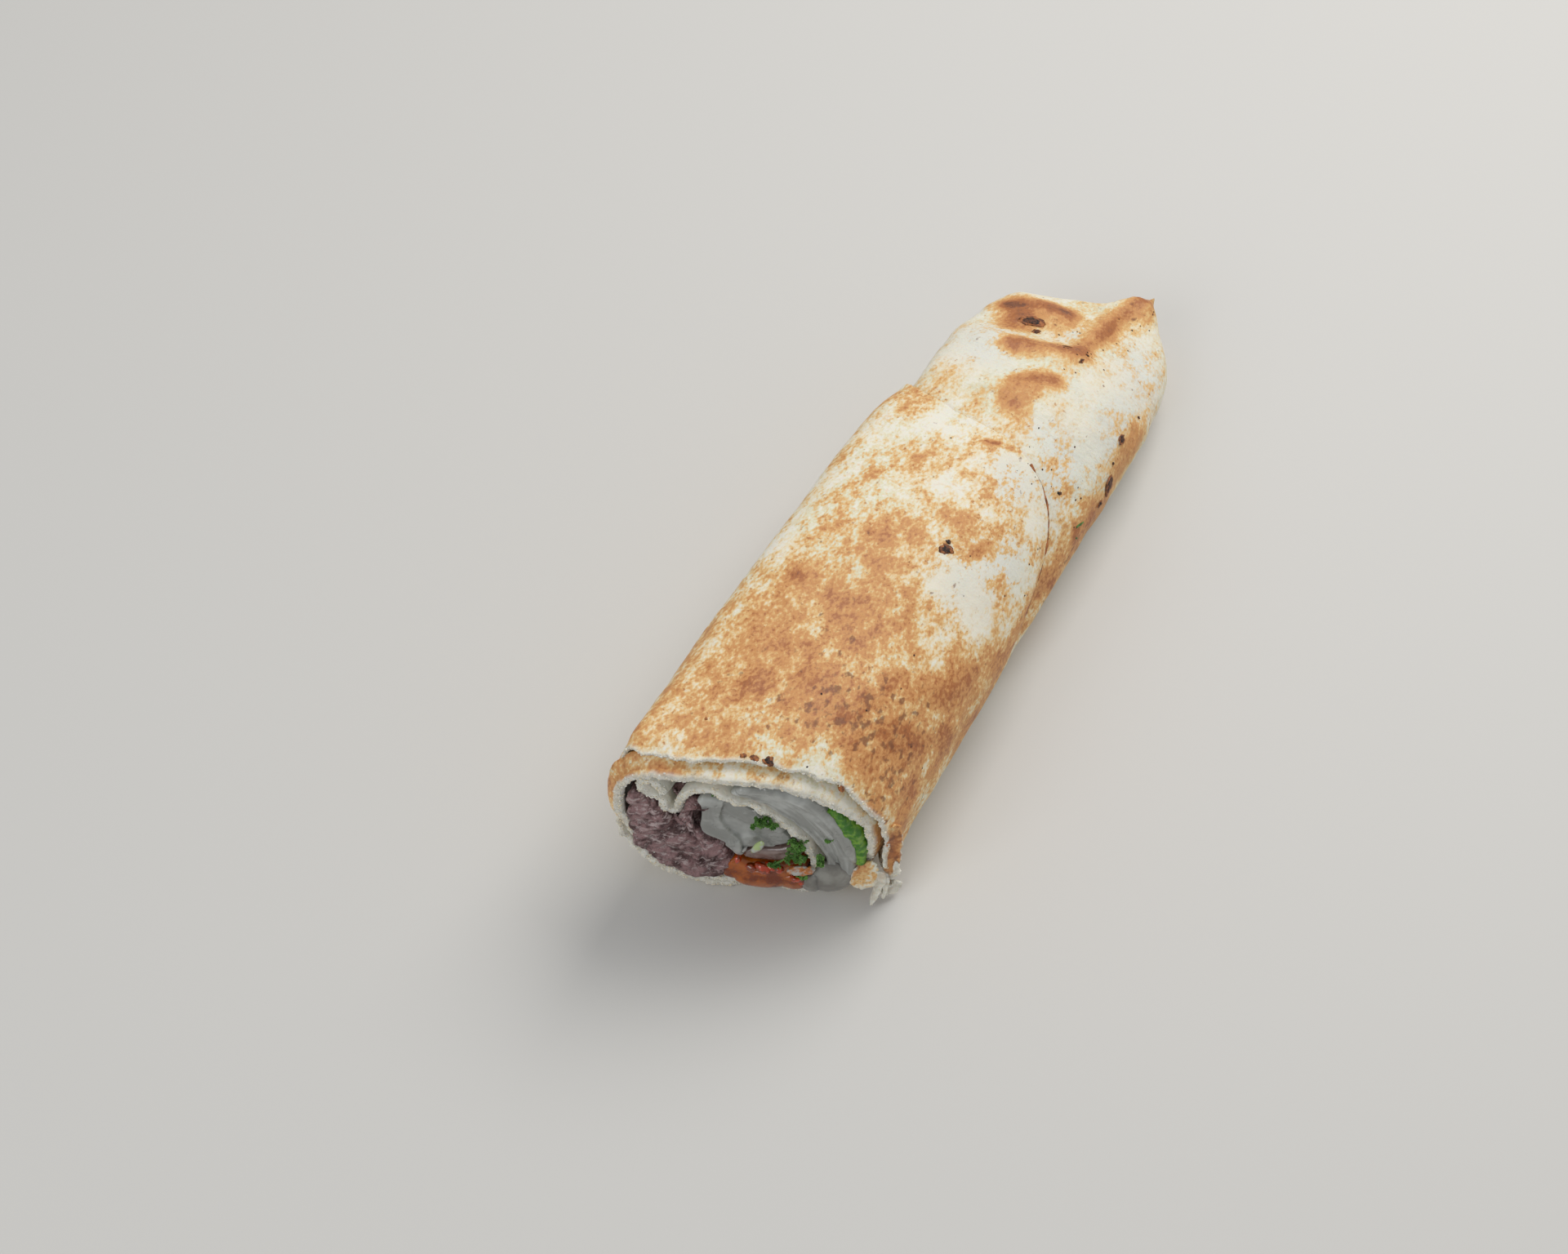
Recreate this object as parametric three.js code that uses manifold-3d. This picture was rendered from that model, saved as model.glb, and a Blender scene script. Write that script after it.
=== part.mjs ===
// Half of a rolled flatbread sandwich with tikka meat, cut slantwise across the roll.
// Millimetres, +Z up. The roll lies along Y: the cut face looks towards -Y, the folded tip points to +Y.
//
// Every piece is first laid out in one flat section of the roll, as it shows at the cut (X to the
// right, Z up), and swept back along the roll. place() then gives the roll its taper, its flattened
// tip and its soft dents, so that pieces that are clear of each other in the section stay clear.
import * as THREE from "three";
import { mergeVertices } from "three/addons/utils/BufferGeometryUtils.js";
import Module from "manifold-3d";

// ---------------------------------------------------------------- driving dimensions
const ROLL_LENGTH = 146.8; // from the middle of the cut to the point of the tip
const SECTION_LEFT = -24.5; // the section at the cut, to the left of the middle of its bottom
const SECTION_RIGHT = 20;
const SECTION_HEIGHT = 38;
const BREAD = 1.7; // thickness of the flatbread
const LAYER_GAP = 0.5; // air between two turns of it
const CLEARANCE = 0.4; // air between a filling and the bread
const LEAN = 0.04; // how much higher the left of the roll is, and lower the right, as a share
const CUT_SLANT = THREE.MathUtils.degToRad(26); // how far the cut is turned from square

const WALL_HEIGHT_LEFT = 24; // height of the widest place of each side
const WALL_HEIGHT_RIGHT = 16;
const SAG = 1.6; // how far the underside would reach below the table if it weren't flattened by it
const CORNER_TOP_LEFT = 4.2; // superellipse exponents: 2 is round, more is squarer
const CORNER_TOP_RIGHT = 2;
const CORNER_BOTTOM_LEFT = 1.8;
const CORNER_BOTTOM_RIGHT = 2.5;

const TIP_SOLID_FROM = 117; // past here the bread is folded into one solid end
const FILLING_TO = 113; // where the fillings stop, short of the folds

// Turn angles, in degrees, of the one sheet of bread as it winds outwards.
const FLAP_JOINS_AT = 16; // the inner flap has become the inner turn
const STEPS_OUT_AT = 308; // the sheet comes out from under its own free edge
const STEPS_OUT_OVER = 30;
const WRAP_FROM = 428; // from here on it only covers the front of the roll
const RIM_TOP = 540; // the crest of the roll, where the free rim starts to fall towards the cut
const RIM_END = 665; // the rim's corner at the cut
const RIM_REACH = 88; // how far along the roll the rim lies at the crest
const RIM_ROUND = 2.2; // exponent of its curve
const RIM_DRIFT = 0.05; // millimetres for each degree that it runs on towards the tip on the left
const RIM_CORNER = 3; // how far behind the cut the rim's corner stays

// Stations along the roll: y, left side, right side, top, underside.
const STATIONS = [
  [-14, -24.2, 20.0, 38.4, 0],
  [0, -24.9, 20.0, 38.4, 0],
  [30, -24.9, 19.5, 37.4, 0],
  [60, -24.4, 18.7, 35.2, 0],
  [90, -23.6, 17.8, 31.2, 0],
  [108, -22.8, 17.3, 26.6, 0],
  [119, -21.8, 16.6, 22.4, 0],
  [127, -19.9, 15.4, 18.6, 0.3],
  [132, -16.6, 14.2, 16.2, 0.8],
  [135.2, -11.6, 12.8, 14.6, 1.4],
  [138, -5.2, 11.0, 13.4, 2.0],
  [141, -0.8, 8.6, 12.4, 2.8],
  [144, 1.1, 6.4, 11.2, 3.8],
  [ROLL_LENGTH, 2.4, 4.6, 9.6, 5.6],
];

// ---------------------------------------------------------------- the section
const MIDDLE = (SECTION_LEFT + SECTION_RIGHT) / 2;
const HALF_WIDTH = (SECTION_RIGHT - SECTION_LEFT) / 2;
const PITCH = BREAD + LAYER_GAP;
const OUTER_DEPTH = BREAD / 2; // depth of the middle of the outer turn below the outside
const INNER_DEPTH = OUTER_DEPTH + PITCH; // and of the turn below it
const FILLING_DEPTH = INNER_DEPTH + BREAD / 2 + CLEARANCE;

const clamp = THREE.MathUtils.clamp;
const lerp = THREE.MathUtils.lerp;
const smooth = (value, from, to) => THREE.MathUtils.smoothstep(value, from, to);
const powered = (value, exponent) => Math.sign(value) * Math.abs(value) ** exponent;

// The exponent, the height of the widest place and the reach up or down of one quarter of the outline.
function quarter(right, up) {
  const widest = right ? WALL_HEIGHT_RIGHT : WALL_HEIGHT_LEFT;
  if (up) {
    const corner = right ? CORNER_TOP_RIGHT : CORNER_TOP_LEFT;
    return { corner, widest, reach: SECTION_HEIGHT - widest };
  }
  const corner = right ? CORNER_BOTTOM_RIGHT : CORNER_BOTTOM_LEFT;
  return { corner, widest, reach: widest + SAG };
}

// A point at a turn angle: 0 at the bottom, 90 left, 180 top, 270 right, and so on round and round.
function turnPoint(degrees, depth) {
  const angle = THREE.MathUtils.degToRad(degrees);
  const across = -Math.sin(angle);
  const rise = -Math.cos(angle);
  const { corner, widest, reach } = quarter(across > 0, rise > 0);
  const x = MIDDLE + (HALF_WIDTH - depth) * powered(across, 2 / corner);
  const z = widest + (reach - depth) * powered(rise, 2 / corner);
  return new THREE.Vector2(x, Math.max(z, depth));
}

// Pulls a point of a filling in, so that it stays inside the inner turn of bread.
function insideWall([x, z]) {
  const { corner, widest, reach } = quarter(x > MIDDLE, z > widestAt(x));
  const across = (x - MIDDLE) / (HALF_WIDTH - FILLING_DEPTH);
  const rise = (z - widest) / (reach - FILLING_DEPTH);
  const level = Math.abs(across) ** corner + Math.abs(rise) ** corner;
  const pull = level > 1 ? level ** (-1 / corner) : 1;
  return new THREE.Vector2(
    MIDDLE + (x - MIDDLE) * pull,
    Math.max(widest + (z - widest) * pull, FILLING_DEPTH),
  );
}

function widestAt(x) {
  return x > MIDDLE ? WALL_HEIGHT_RIGHT : WALL_HEIGHT_LEFT;
}

// ---------------------------------------------------------------- the roll
// Reads one column of the stations at a distance along the roll.
function station(y, column) {
  const last = STATIONS.length - 1;
  let i = 0;
  while (i < last - 1 && y > STATIONS[i + 1][0]) i += 1;
  const before = STATIONS[Math.max(i - 1, 0)];
  const a = STATIONS[i];
  const b = STATIONS[i + 1];
  const after = STATIONS[Math.min(i + 2, last)];
  const span = b[0] - a[0];
  const slopeA = (b[column] - before[column]) / (b[0] - before[0]);
  const slopeB = (after[column] - a[column]) / (after[0] - a[0]);
  const t = clamp((y - a[0]) / span, 0, 1);
  const ease = t * t * (3 - 2 * t);
  const curve = t * (1 - t) * (1 - t) * slopeA * span - t * t * (1 - t) * slopeB * span;
  return a[column] + (b[column] - a[column]) * ease + curve;
}

// Soft dents of the upper side, and the waver of both sides: the size of each wave, in millimetres, and
// how far along and across the roll it runs for one radian.
const DENT = { size: 0.5, along: 13, across: 9 };
const RIPPLE = { size: 0.35, along: 7.5, across: 11 };
const WAVER = [
  { size: 0.45, along: 19, start: 0.6 },
  { size: 0.25, along: 8.5, start: 2 },
];
const DENTS_FADE_FROM = 112; // where they give way to the folds of the tip
const DENTS_FADE_TO = 134;

function dents(x, y) {
  const dent = DENT.size * Math.sin(y / DENT.along + 1.1) * Math.sin(x / DENT.across + 0.4);
  return dent + RIPPLE.size * Math.sin(y / RIPPLE.along - x / RIPPLE.across);
}

function waver(y) {
  return WAVER.reduce((sum, wave) => sum + wave.size * Math.sin(y / wave.along + wave.start), 0);
}

// Crosswise folds of the tip: height, distance along the roll, half-width and slant of each.
const TIP_FOLDS = [
  { rise: 1.5, at: 116, width: 3.6, slant: 0.14 },
  { rise: -1.3, at: 122.5, width: 3.2, slant: 0.1 },
  { rise: 1.4, at: 128.5, width: 2.6, slant: -0.1 },
  { rise: -0.9, at: 133, width: 1.8, slant: 0.06 },
];

function tipFolds(x, y) {
  let rise = 0;
  for (const fold of TIP_FOLDS) {
    const off = (y - fold.at - fold.slant * x) / fold.width;
    rise += fold.rise * Math.exp(-off * off);
  }
  return rise;
}

// Takes a point of the section, at a distance along the roll, to its real place.
function place(x, y, z) {
  const left = station(y, 1);
  const right = station(y, 2);
  const top = station(y, 3);
  const under = Math.max(station(y, 4), 0);
  const across = (x - SECTION_LEFT) / (SECTION_RIGHT - SECTION_LEFT);
  const lean = 1 - (LEAN * (x - MIDDLE)) / HALF_WIDTH;
  const height = (z / SECTION_HEIGHT) * lerp(1, lean, z / SECTION_HEIGHT);
  const soft = 1 - smooth(y, DENTS_FADE_FROM, DENTS_FADE_TO);
  return new THREE.Vector3(
    lerp(left, right, across) + waver(y) * height * soft,
    y,
    lerp(under, top, height) + height * (dents(x, y) * soft + tipFolds(x, y)),
  );
}

const SLANT_FADES_AT = 60; // past this distance the rings of the bread stand square to the roll

// How far along the roll the slanting plane of the cut lies.
const cutAt = (x) => x * Math.tan(CUT_SLANT);

// The same for a ring of the bread, which turns square on its way back from the cut.
const slantAt = (x, y) => cutAt(x) * (1 - smooth(y, 0, SLANT_FADES_AT));

// ---------------------------------------------------------------- solids from rings
const wasm = await Module();
wasm.setup();

// The flat triangles that fill an outline, all turned the same way round as the outline.
function fillOutline(ring) {
  const outline = ring.map((p) => new THREE.Vector2(p.x, p.z));
  const triangles = THREE.ShapeUtils.triangulateShape(outline, []);
  const area = (corners) => THREE.ShapeUtils.area(corners.map((i) => outline[i]));
  const total = triangles.reduce((sum, corners) => sum + area(corners), 0);
  return total > 0 ? triangles : triangles.map(([a, b, c]) => [a, c, b]);
}

// A closed skin over rings of the same number of points, with a cap at each end.
function loft(sections) {
  const flat = sections[0].map((p) => new THREE.Vector2(p.x, p.z));
  const clockwise = THREE.ShapeUtils.isClockWise(flat);
  const rings = clockwise ? sections.map((ring) => ring.toReversed()) : sections;
  const count = rings[0].length;
  const last = (rings.length - 1) * count;
  const index = [];
  for (let r = 0; r < last; r += count) {
    for (let i = 0; i < count; i += 1) {
      const a = r + i;
      const b = r + ((i + 1) % count);
      index.push(a, a + count, b, b, a + count, b + count);
    }
  }
  for (const [a, b, c] of fillOutline(rings[0])) index.push(a, b, c);
  for (const [a, b, c] of fillOutline(rings.at(-1))) index.push(last + a, last + c, last + b);
  const position = rings.flat().flatMap((p) => [p.x, p.y, p.z]);
  const geometry = new THREE.BufferGeometry();
  geometry.setAttribute("position", new THREE.Float32BufferAttribute(position, 3));
  geometry.setIndex(index);
  return geometry;
}

function toSolid(geometry) {
  const merged = mergeVertices(geometry, 1e-5);
  const mesh = new wasm.Mesh({
    numProp: 3,
    vertProperties: new Float32Array(merged.attributes.position.array),
    triVerts: new Uint32Array(merged.index.array),
  });
  return new wasm.Manifold(mesh);
}

function toGeometry(solid) {
  const mesh = solid.getMesh();
  const geometry = new THREE.BufferGeometry();
  geometry.setAttribute("position", new THREE.BufferAttribute(mesh.vertProperties, 3));
  geometry.setIndex(new THREE.BufferAttribute(mesh.triVerts, 1));
  return geometry;
}

// ---------------------------------------------------------------- the flatbread
// The inner end of the bread: crumpled into pleats at the top left, then a flap that comes down over
// the inner fillings and turns under them.
const PLEAT_TURN = 1.15; // radius of the middle of the bread where a pleat turns back
const PLEAT_START = [[-15.0, 25.2], [-15.6, 27.4]];
const TOP_TURN = [-17.5, 29.4];
const LEFT_ARM = [[-18.0, 26.4], [-16.9, 23.6]];
const HANGING_TURN = [-14.4, 20.6];
const RIGHT_ARM = [[-12.7, 24.0], [-12.0, 27.4]];
const FLAP = [
  [-9.8, 29.6],
  [-6.4, 29.3],
  [-2.6, 27.1],
  [0.8, 23.9],
  [3.6, 20.6],
  [5.9, 17.2],
  [7.9, 13.4],
  [8.7, 10.4],
  [8.2, 7.8],
  [6.0, 6.0],
  [2.4, 5.0],
];
const PLEAT_STEPS = 46;
const TURN_STEPS = 40;
const SWELL_FROM = 3; // how far past the rim the inner turn starts to swell, and is at full width
const SWELL_TO = 22;
const SWELL_TURN_FROM = 74; // the turn angles where it starts to swell, up the left side
const SWELL_TURN_TO = 112;
const PINCH = 1.8; // how far the outer turn is pinched out at the top left corner of the cut
const PINCH_AT = 496; // turn angle of that corner
const PINCH_WIDTH = 15;
const PINCH_FADES_FROM = 4; // distances from the cut where it starts to close, and is gone
const PINCH_FADES_TO = 26;
const FLARE_OUT = 4.6; // how far the rim's corner is bent out and down where it lies loose at the cut
const FLARE_DOWN = 3.4;
const FLARE_TURN = 44; // degrees of turn that the bend takes up
const FLARE_LENGTH = 10; // and how far it reaches back from the cut

// Points on an arc in the section, from one angle to another in degrees.
function arc([x, z], radius, from, to) {
  return [0, 0.5, 1].map((t) => {
    const angle = THREE.MathUtils.degToRad(lerp(from, to, t));
    return [x + radius * Math.cos(angle), z + radius * Math.sin(angle)];
  });
}

function innerEnd() {
  const points = [
    ...PLEAT_START,
    ...arc(TOP_TURN, PLEAT_TURN, 20, 190),
    ...LEFT_ARM,
    ...arc(HANGING_TURN, PLEAT_TURN, 200, 350),
    ...RIGHT_ARM,
    ...FLAP,
  ].map(([x, z]) => new THREE.Vector2(x, z));
  points.push(turnPoint(FLAP_JOINS_AT - 8, INNER_DEPTH), turnPoint(FLAP_JOINS_AT, INNER_DEPTH));
  return new THREE.SplineCurve(points).getPoints(PLEAT_STEPS);
}

// How far along the roll the free rim of the bread lies.
function rimAt(degrees) {
  if (degrees < RIM_TOP) return RIM_REACH + RIM_DRIFT * (RIM_TOP - degrees);
  const fall = clamp((degrees - RIM_TOP) / (RIM_END - RIM_TOP), 0, 1);
  return RIM_REACH * (1 - fall ** RIM_ROUND) ** (1 / RIM_ROUND);
}

// Depth of the middle of the sheet below the outside. It steps out from under its free rim, and
// past the rim, towards the tip, the inner turn swells back out to the full width.
function sheetDepth(degrees, y) {
  const underRim = smooth(degrees, STEPS_OUT_AT, STEPS_OUT_AT + STEPS_OUT_OVER);
  const beyond = y - rimAt(degrees + 360);
  const raised = smooth(degrees, SWELL_TURN_FROM, SWELL_TURN_TO);
  const pastRim = smooth(beyond, SWELL_FROM, SWELL_TO) * raised;
  return lerp(INNER_DEPTH, OUTER_DEPTH, Math.max(underRim, pastRim));
}

// The line that the middle of the inner turn follows in the section, at a distance along the roll.
function innerLine(y) {
  const line = innerEnd();
  for (let i = 1; i <= TURN_STEPS; i += 1) {
    const angle = lerp(FLAP_JOINS_AT, WRAP_FROM, i / TURN_STEPS);
    line.push(turnPoint(angle, sheetDepth(angle, y)));
  }
  return line;
}

// Both faces of the bread as one closed outline round its middle line.
function breadOutline(y) {
  const line = innerLine(y);
  const last = line.length - 1;
  const outside = [];
  const inside = [];
  line.forEach((point, i) => {
    const along = line[Math.min(i + 1, last)].clone().sub(line[Math.max(i - 1, 0)]).normalize();
    const side = new THREE.Vector2(-along.y, along.x).multiplyScalar(BREAD / 2);
    outside.push(point.clone().add(side));
    inside.unshift(point.clone().sub(side));
  });
  return [...outside, ...inside];
}

// The cut edge of the bread is torn: how far it stands in front of the cut, and the waves in it.
const TEAR_FORWARD = 0.3;
const TEAR_WAVES = [
  { size: 0.5, waves: 61, start: 0 },
  { size: 0.35, waves: 143, start: 1 },
];
const TEAR_DEPTH = 4; // how far back from the cut the waves reach

function tornEdge(share) {
  const wave = (tear) => tear.size * Math.sin(share * tear.waves + tear.start);
  return TEAR_WAVES.reduce((sum, tear) => sum + wave(tear), TEAR_FORWARD);
}

// Distances along the roll of the rings that the sheet is made of, closer together in the tip.
const BREAD_RINGS = [
  ...[0, 7, 20, 38, 58, 76, 90, 102, 111, 118],
  ...[122.5, 126.5, 130, 133, 135.4, 138, 141, 144, ROLL_LENGTH],
];

// The sheet from its crumpled inner end to where it turns up the left side, over the whole roll.
function innerRoll() {
  return loft(
    BREAD_RINGS.map((y) => {
      const outline = breadOutline(y);
      const torn = 1 - smooth(y, 0, TEAR_DEPTH);
      return outline.map((point, i) => {
        const share = Math.min(i, outline.length - 1 - i) / (outline.length / 2);
        return place(point.x, y + slantAt(point.x, y) - tornEdge(share) * torn, point.y);
      });
    }),
  );
}

// A point of the outer turn: pinched at the top left corner, bent out where its corner lies loose.
function wrapPoint(degrees, depth, y) {
  const pinched = 1 - smooth(y, PINCH_FADES_FROM, PINCH_FADES_TO);
  const loose = (1 - smooth(y, 0, FLARE_LENGTH)) * smooth(degrees, RIM_END - FLARE_TURN, RIM_END);
  const pinch = PINCH * pinched * Math.exp(-(((degrees - PINCH_AT) / PINCH_WIDTH) ** 2));
  const point = turnPoint(degrees, depth - pinch);
  point.x += FLARE_OUT * loose * loose;
  point.y -= FLARE_DOWN * loose;
  return point;
}

const WRAP_STEPS = 44;
const WRAP_RINGS = [0, 0.07, 0.2, 0.4, 0.62, 0.82, 0.95, 1];
const WRAP_OVERLAP = 8; // degrees that it runs into the end of the inner roll
const WRAP_BREAD = 0.99 * BREAD; // a hair thinner, so that its faces don't coincide with the roll's there
const RIM_THICKNESS = 0.75; // of the bread at its rim, as a share

// The rest of the sheet, over the front of the roll, from the cut to the round rim of the bread.
function outerWrap() {
  return loft(
    WRAP_RINGS.map((share) => {
      const thin = share === 1 ? RIM_THICKNESS : 1;
      const point = (i, depth) => {
        const degrees = lerp(WRAP_FROM - WRAP_OVERLAP, RIM_END, i / WRAP_STEPS);
        const start = -tornEdge(1 + i / WRAP_STEPS) * (1 - share);
        const y = lerp(start, Math.max(rimAt(degrees), RIM_CORNER), share);
        const flat = wrapPoint(degrees, depth, y);
        return place(flat.x, y + slantAt(flat.x, y), flat.y);
      };
      const steps = Array.from({ length: WRAP_STEPS + 1 }, (_, i) => i);
      const outside = steps.map((i) => point(i, BREAD * (1 - thin)));
      const inside = steps.map((i) => point(i, WRAP_BREAD));
      return [...outside, ...inside.toReversed()];
    }),
  );
}

const TIP_STEPS = 48;

// The solid end, a little inside the turn of bread that covers it.
function foldedTip() {
  const rings = BREAD_RINGS.filter((y) => y > TIP_SOLID_FROM && y < ROLL_LENGTH);
  rings.unshift(TIP_SOLID_FROM);
  return loft(
    rings.map((y) =>
      Array.from({ length: TIP_STEPS }, (_, i) => {
        const point = turnPoint((360 * i) / TIP_STEPS, OUTER_DEPTH);
        return place(point.x, y, point.y);
      }),
    ),
  );
}

function flatbread() {
  return toGeometry(toSolid(innerRoll()).add(toSolid(outerWrap())).add(toSolid(foldedTip())));
}

// ---------------------------------------------------------------- the fillings
const FILLING_STEPS = 28;
const FILLING_RINGS = [0, 0.05, 0.2, 0.42, 0.64, 0.84, 0.96, 1];
const END_SIZE = 0.8; // of both ends, as a share of the full section
const BULGE_WAVES = 9; // radians of swelling from end to end

// A filling that runs back through the roll from its outline at the cut. It stands out of the cut by
// front, is rounded off at both ends, and swells and thins on its way.
function filling({ outline, front, bulge }) {
  const curve = new THREE.CatmullRomCurve3(
    outline.map(insideWall).map((p) => new THREE.Vector3(p.x, 0, p.y)),
    true,
  );
  const section = curve.getSpacedPoints(FILLING_STEPS).slice(0, FILLING_STEPS);
  const centre = section.reduce((sum, p) => sum.add(p), new THREE.Vector3()).divideScalar(FILLING_STEPS);
  const rings = FILLING_RINGS.map((along) => {
    const rounded = along === 0 || along === 1 ? END_SIZE : 1;
    const swell = rounded * (1 - bulge * Math.sin(along * BULGE_WAVES) ** 2);
    return section.map((p) => {
      const x = lerp(centre.x, p.x, swell);
      const z = lerp(centre.z, p.z, swell);
      const start = cutAt(x) - front;
      return place(x, lerp(start, FILLING_TO, along), z);
    });
  });
  return loft(rings);
}

const MEAT = {
  front: 1.2,
  bulge: 0.05,
  outline: [
    [-20.2, 25.4], [-19.5, 24.8], [-18.6, 22.4], [-17.4, 19.2], [-14.6, 17.4], [-12.0, 18.4], [-11.4, 22.0],
    [-10.9, 25.6], [-10.5, 24.8], [-10.9, 19.6], [-10.2, 16.0], [-7.6, 13.4], [-5.4, 10.6], [-5.2, 7.6],
    [-6.4, 4.4], [-11.5, 4.0], [-16.6, 6.6], [-19.2, 13.0], [-20.6, 20.0],
  ],
};
const ONION_CHUNK = {
  front: 1.6,
  bulge: 0.04,
  outline: [
    [-9.6, 27.4], [-10.0, 25.0], [-9.9, 19.6], [-8.6, 16.2], [-6.4, 13.8], [-4.0, 11.6], [-2.6, 13.4],
    [-0.6, 15.4], [3.0, 15.6], [4.2, 17.2], [2.2, 20.3], [-0.6, 23.3], [-3.8, 26.1], [-6.8, 27.9],
  ],
};
const ONION_SLIVER = {
  front: 1.8,
  bulge: 0.03,
  outline: [
    [-3.2, 11.2], [-0.4, 10.4], [3.0, 10.8], [6.2, 11.2], [7.0, 12.4], [5.2, 15.0], [3.2, 14.9],
    [-0.2, 14.6], [-2.2, 12.9],
  ],
};
const TOMATO_SLAB = {
  front: 2.2,
  bulge: 0.03,
  outline: [
    [-4.7, 8.4], [-4.0, 10.2], [-1.2, 9.9], [2.6, 10.2], [6.0, 10.5], [7.1, 9.2], [6.2, 7.8],
    [3.4, 6.9], [-1.0, 5.5], [-3.8, 5.0], [-4.6, 6.4],
  ],
};
const ONION_STRIP = {
  front: 3.4,
  bulge: 0.02,
  outline: [
    [-1.0, 33.6], [2.6, 33.2], [6.8, 30.4], [10.0, 25.2], [13.2, 18.6], [14.5, 12.6], [14.6, 7.8],
    [12.0, 5.4], [10.2, 6.0], [10.2, 9.4], [9.6, 13.6], [7.5, 18.0], [4.8, 22.3], [1.7, 26.2],
    [-1.6, 29.2], [-4.4, 31.2],
  ],
};
const LEAF_STRIP = {
  front: 1.4,
  bulge: 0,
  outline: [
    [10.2, 27.6], [12.6, 25.2], [15.2, 20.4], [16.4, 15.0], [16.3, 11.6], [15.3, 11.8], [14.9, 15.6],
    [13.5, 19.9], [11.6, 23.9], [9.8, 26.8],
  ],
};

// ---------------------------------------------------------------- materials and assembly
const material = (color, roughness) => new THREE.MeshStandardMaterial({ color, roughness, metalness: 0 });
const pieces = {
  flatbread: [flatbread(), material(0xe2bf86, 0.78)],
  tikka_meat: [filling(MEAT), material(0x5f4541, 0.6)],
  onion_chunk: [filling(ONION_CHUNK), material(0xb3b0a4, 0.3)],
  onion_sliver: [filling(ONION_SLIVER), material(0x98827a, 0.3)],
  tomato_slab: [filling(TOMATO_SLAB), material(0xa84a22, 0.28)],
  onion_strip: [filling(ONION_STRIP), material(0xbdbfae, 0.28)],
  leaf_strip: [filling(LEAF_STRIP), material(0x4f8f2a, 0.45)],
};

const sandwich = new THREE.Group();
for (const [name, [geometry, finish]] of Object.entries(pieces)) {
  geometry.computeVertexNormals();
  const mesh = new THREE.Mesh(geometry, finish);
  mesh.name = name;
  sandwich.add(mesh);
}

// The origin goes under the middle of the whole, on the table.
const box = new THREE.Box3().setFromObject(sandwich);
sandwich.position.set(-(box.min.x + box.max.x) / 2, -(box.min.y + box.max.y) / 2, -box.min.z);

export default sandwich;
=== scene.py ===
"""Looks of half a rolled flatbread sandwich with tikka meat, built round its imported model.

Shapes are worked out in millimetres in the roll's own lengthwise frame: X to the right seen from the
cut, Y from the cut to the folded tip, Z up. in_row() takes them to metres in the model's frame.
"""

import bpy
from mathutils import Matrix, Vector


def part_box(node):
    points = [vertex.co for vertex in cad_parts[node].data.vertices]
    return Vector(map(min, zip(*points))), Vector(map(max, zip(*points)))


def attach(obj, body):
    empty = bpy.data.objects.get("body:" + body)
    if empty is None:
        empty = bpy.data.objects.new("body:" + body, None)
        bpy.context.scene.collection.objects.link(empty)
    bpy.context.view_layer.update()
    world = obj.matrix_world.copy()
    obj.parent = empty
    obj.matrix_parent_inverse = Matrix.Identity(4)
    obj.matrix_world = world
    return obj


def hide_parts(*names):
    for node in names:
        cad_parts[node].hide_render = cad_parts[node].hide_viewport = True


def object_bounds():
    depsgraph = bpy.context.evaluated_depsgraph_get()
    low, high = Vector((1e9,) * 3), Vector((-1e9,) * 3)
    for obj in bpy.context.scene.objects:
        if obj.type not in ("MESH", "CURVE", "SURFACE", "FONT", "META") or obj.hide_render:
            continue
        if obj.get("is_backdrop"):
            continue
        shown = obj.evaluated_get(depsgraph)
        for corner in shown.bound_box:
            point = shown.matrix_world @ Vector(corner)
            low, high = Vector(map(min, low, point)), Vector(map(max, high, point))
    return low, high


bl_info = {
    "name": "Tikka Sandwich Half",
    "version": (1, 0, 0),
    "blender": (4, 5, 0),
    "location": "3D View > Sidebar > Sandwich",
    "description": "Winds the bread, fills the roll and lights it on a pale floor",
    "category": "Object",
}

import math

import bpy
import numpy as np
from mathutils import Matrix, Vector

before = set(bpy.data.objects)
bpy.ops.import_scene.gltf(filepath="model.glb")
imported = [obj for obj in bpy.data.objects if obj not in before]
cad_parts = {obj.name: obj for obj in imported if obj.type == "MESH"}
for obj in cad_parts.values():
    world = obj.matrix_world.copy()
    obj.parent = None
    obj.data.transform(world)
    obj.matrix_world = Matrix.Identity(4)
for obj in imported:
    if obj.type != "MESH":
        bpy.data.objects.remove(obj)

# ---------------- driving sizes of the roll, in mm
ROLL_LENGTH = 146.8
SECTION_LEFT, SECTION_RIGHT, SECTION_HEIGHT = -24.5, 20.0, 38.0
BREAD = 1.7
LAYER_GAP = 0.5
LEAN = 0.04
CUT_SLANT = math.radians(26)
WALL_HEIGHT_LEFT, WALL_HEIGHT_RIGHT = 24.0, 16.0
SAG = 1.6
CORNER_TOP_LEFT, CORNER_TOP_RIGHT = 4.2, 2.0
CORNER_BOTTOM_LEFT, CORNER_BOTTOM_RIGHT = 1.8, 2.5
TIP_SOLID_FROM, CORE_DEPTH = 117.0, 1.15
FILLING_TO = 113.0

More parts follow.
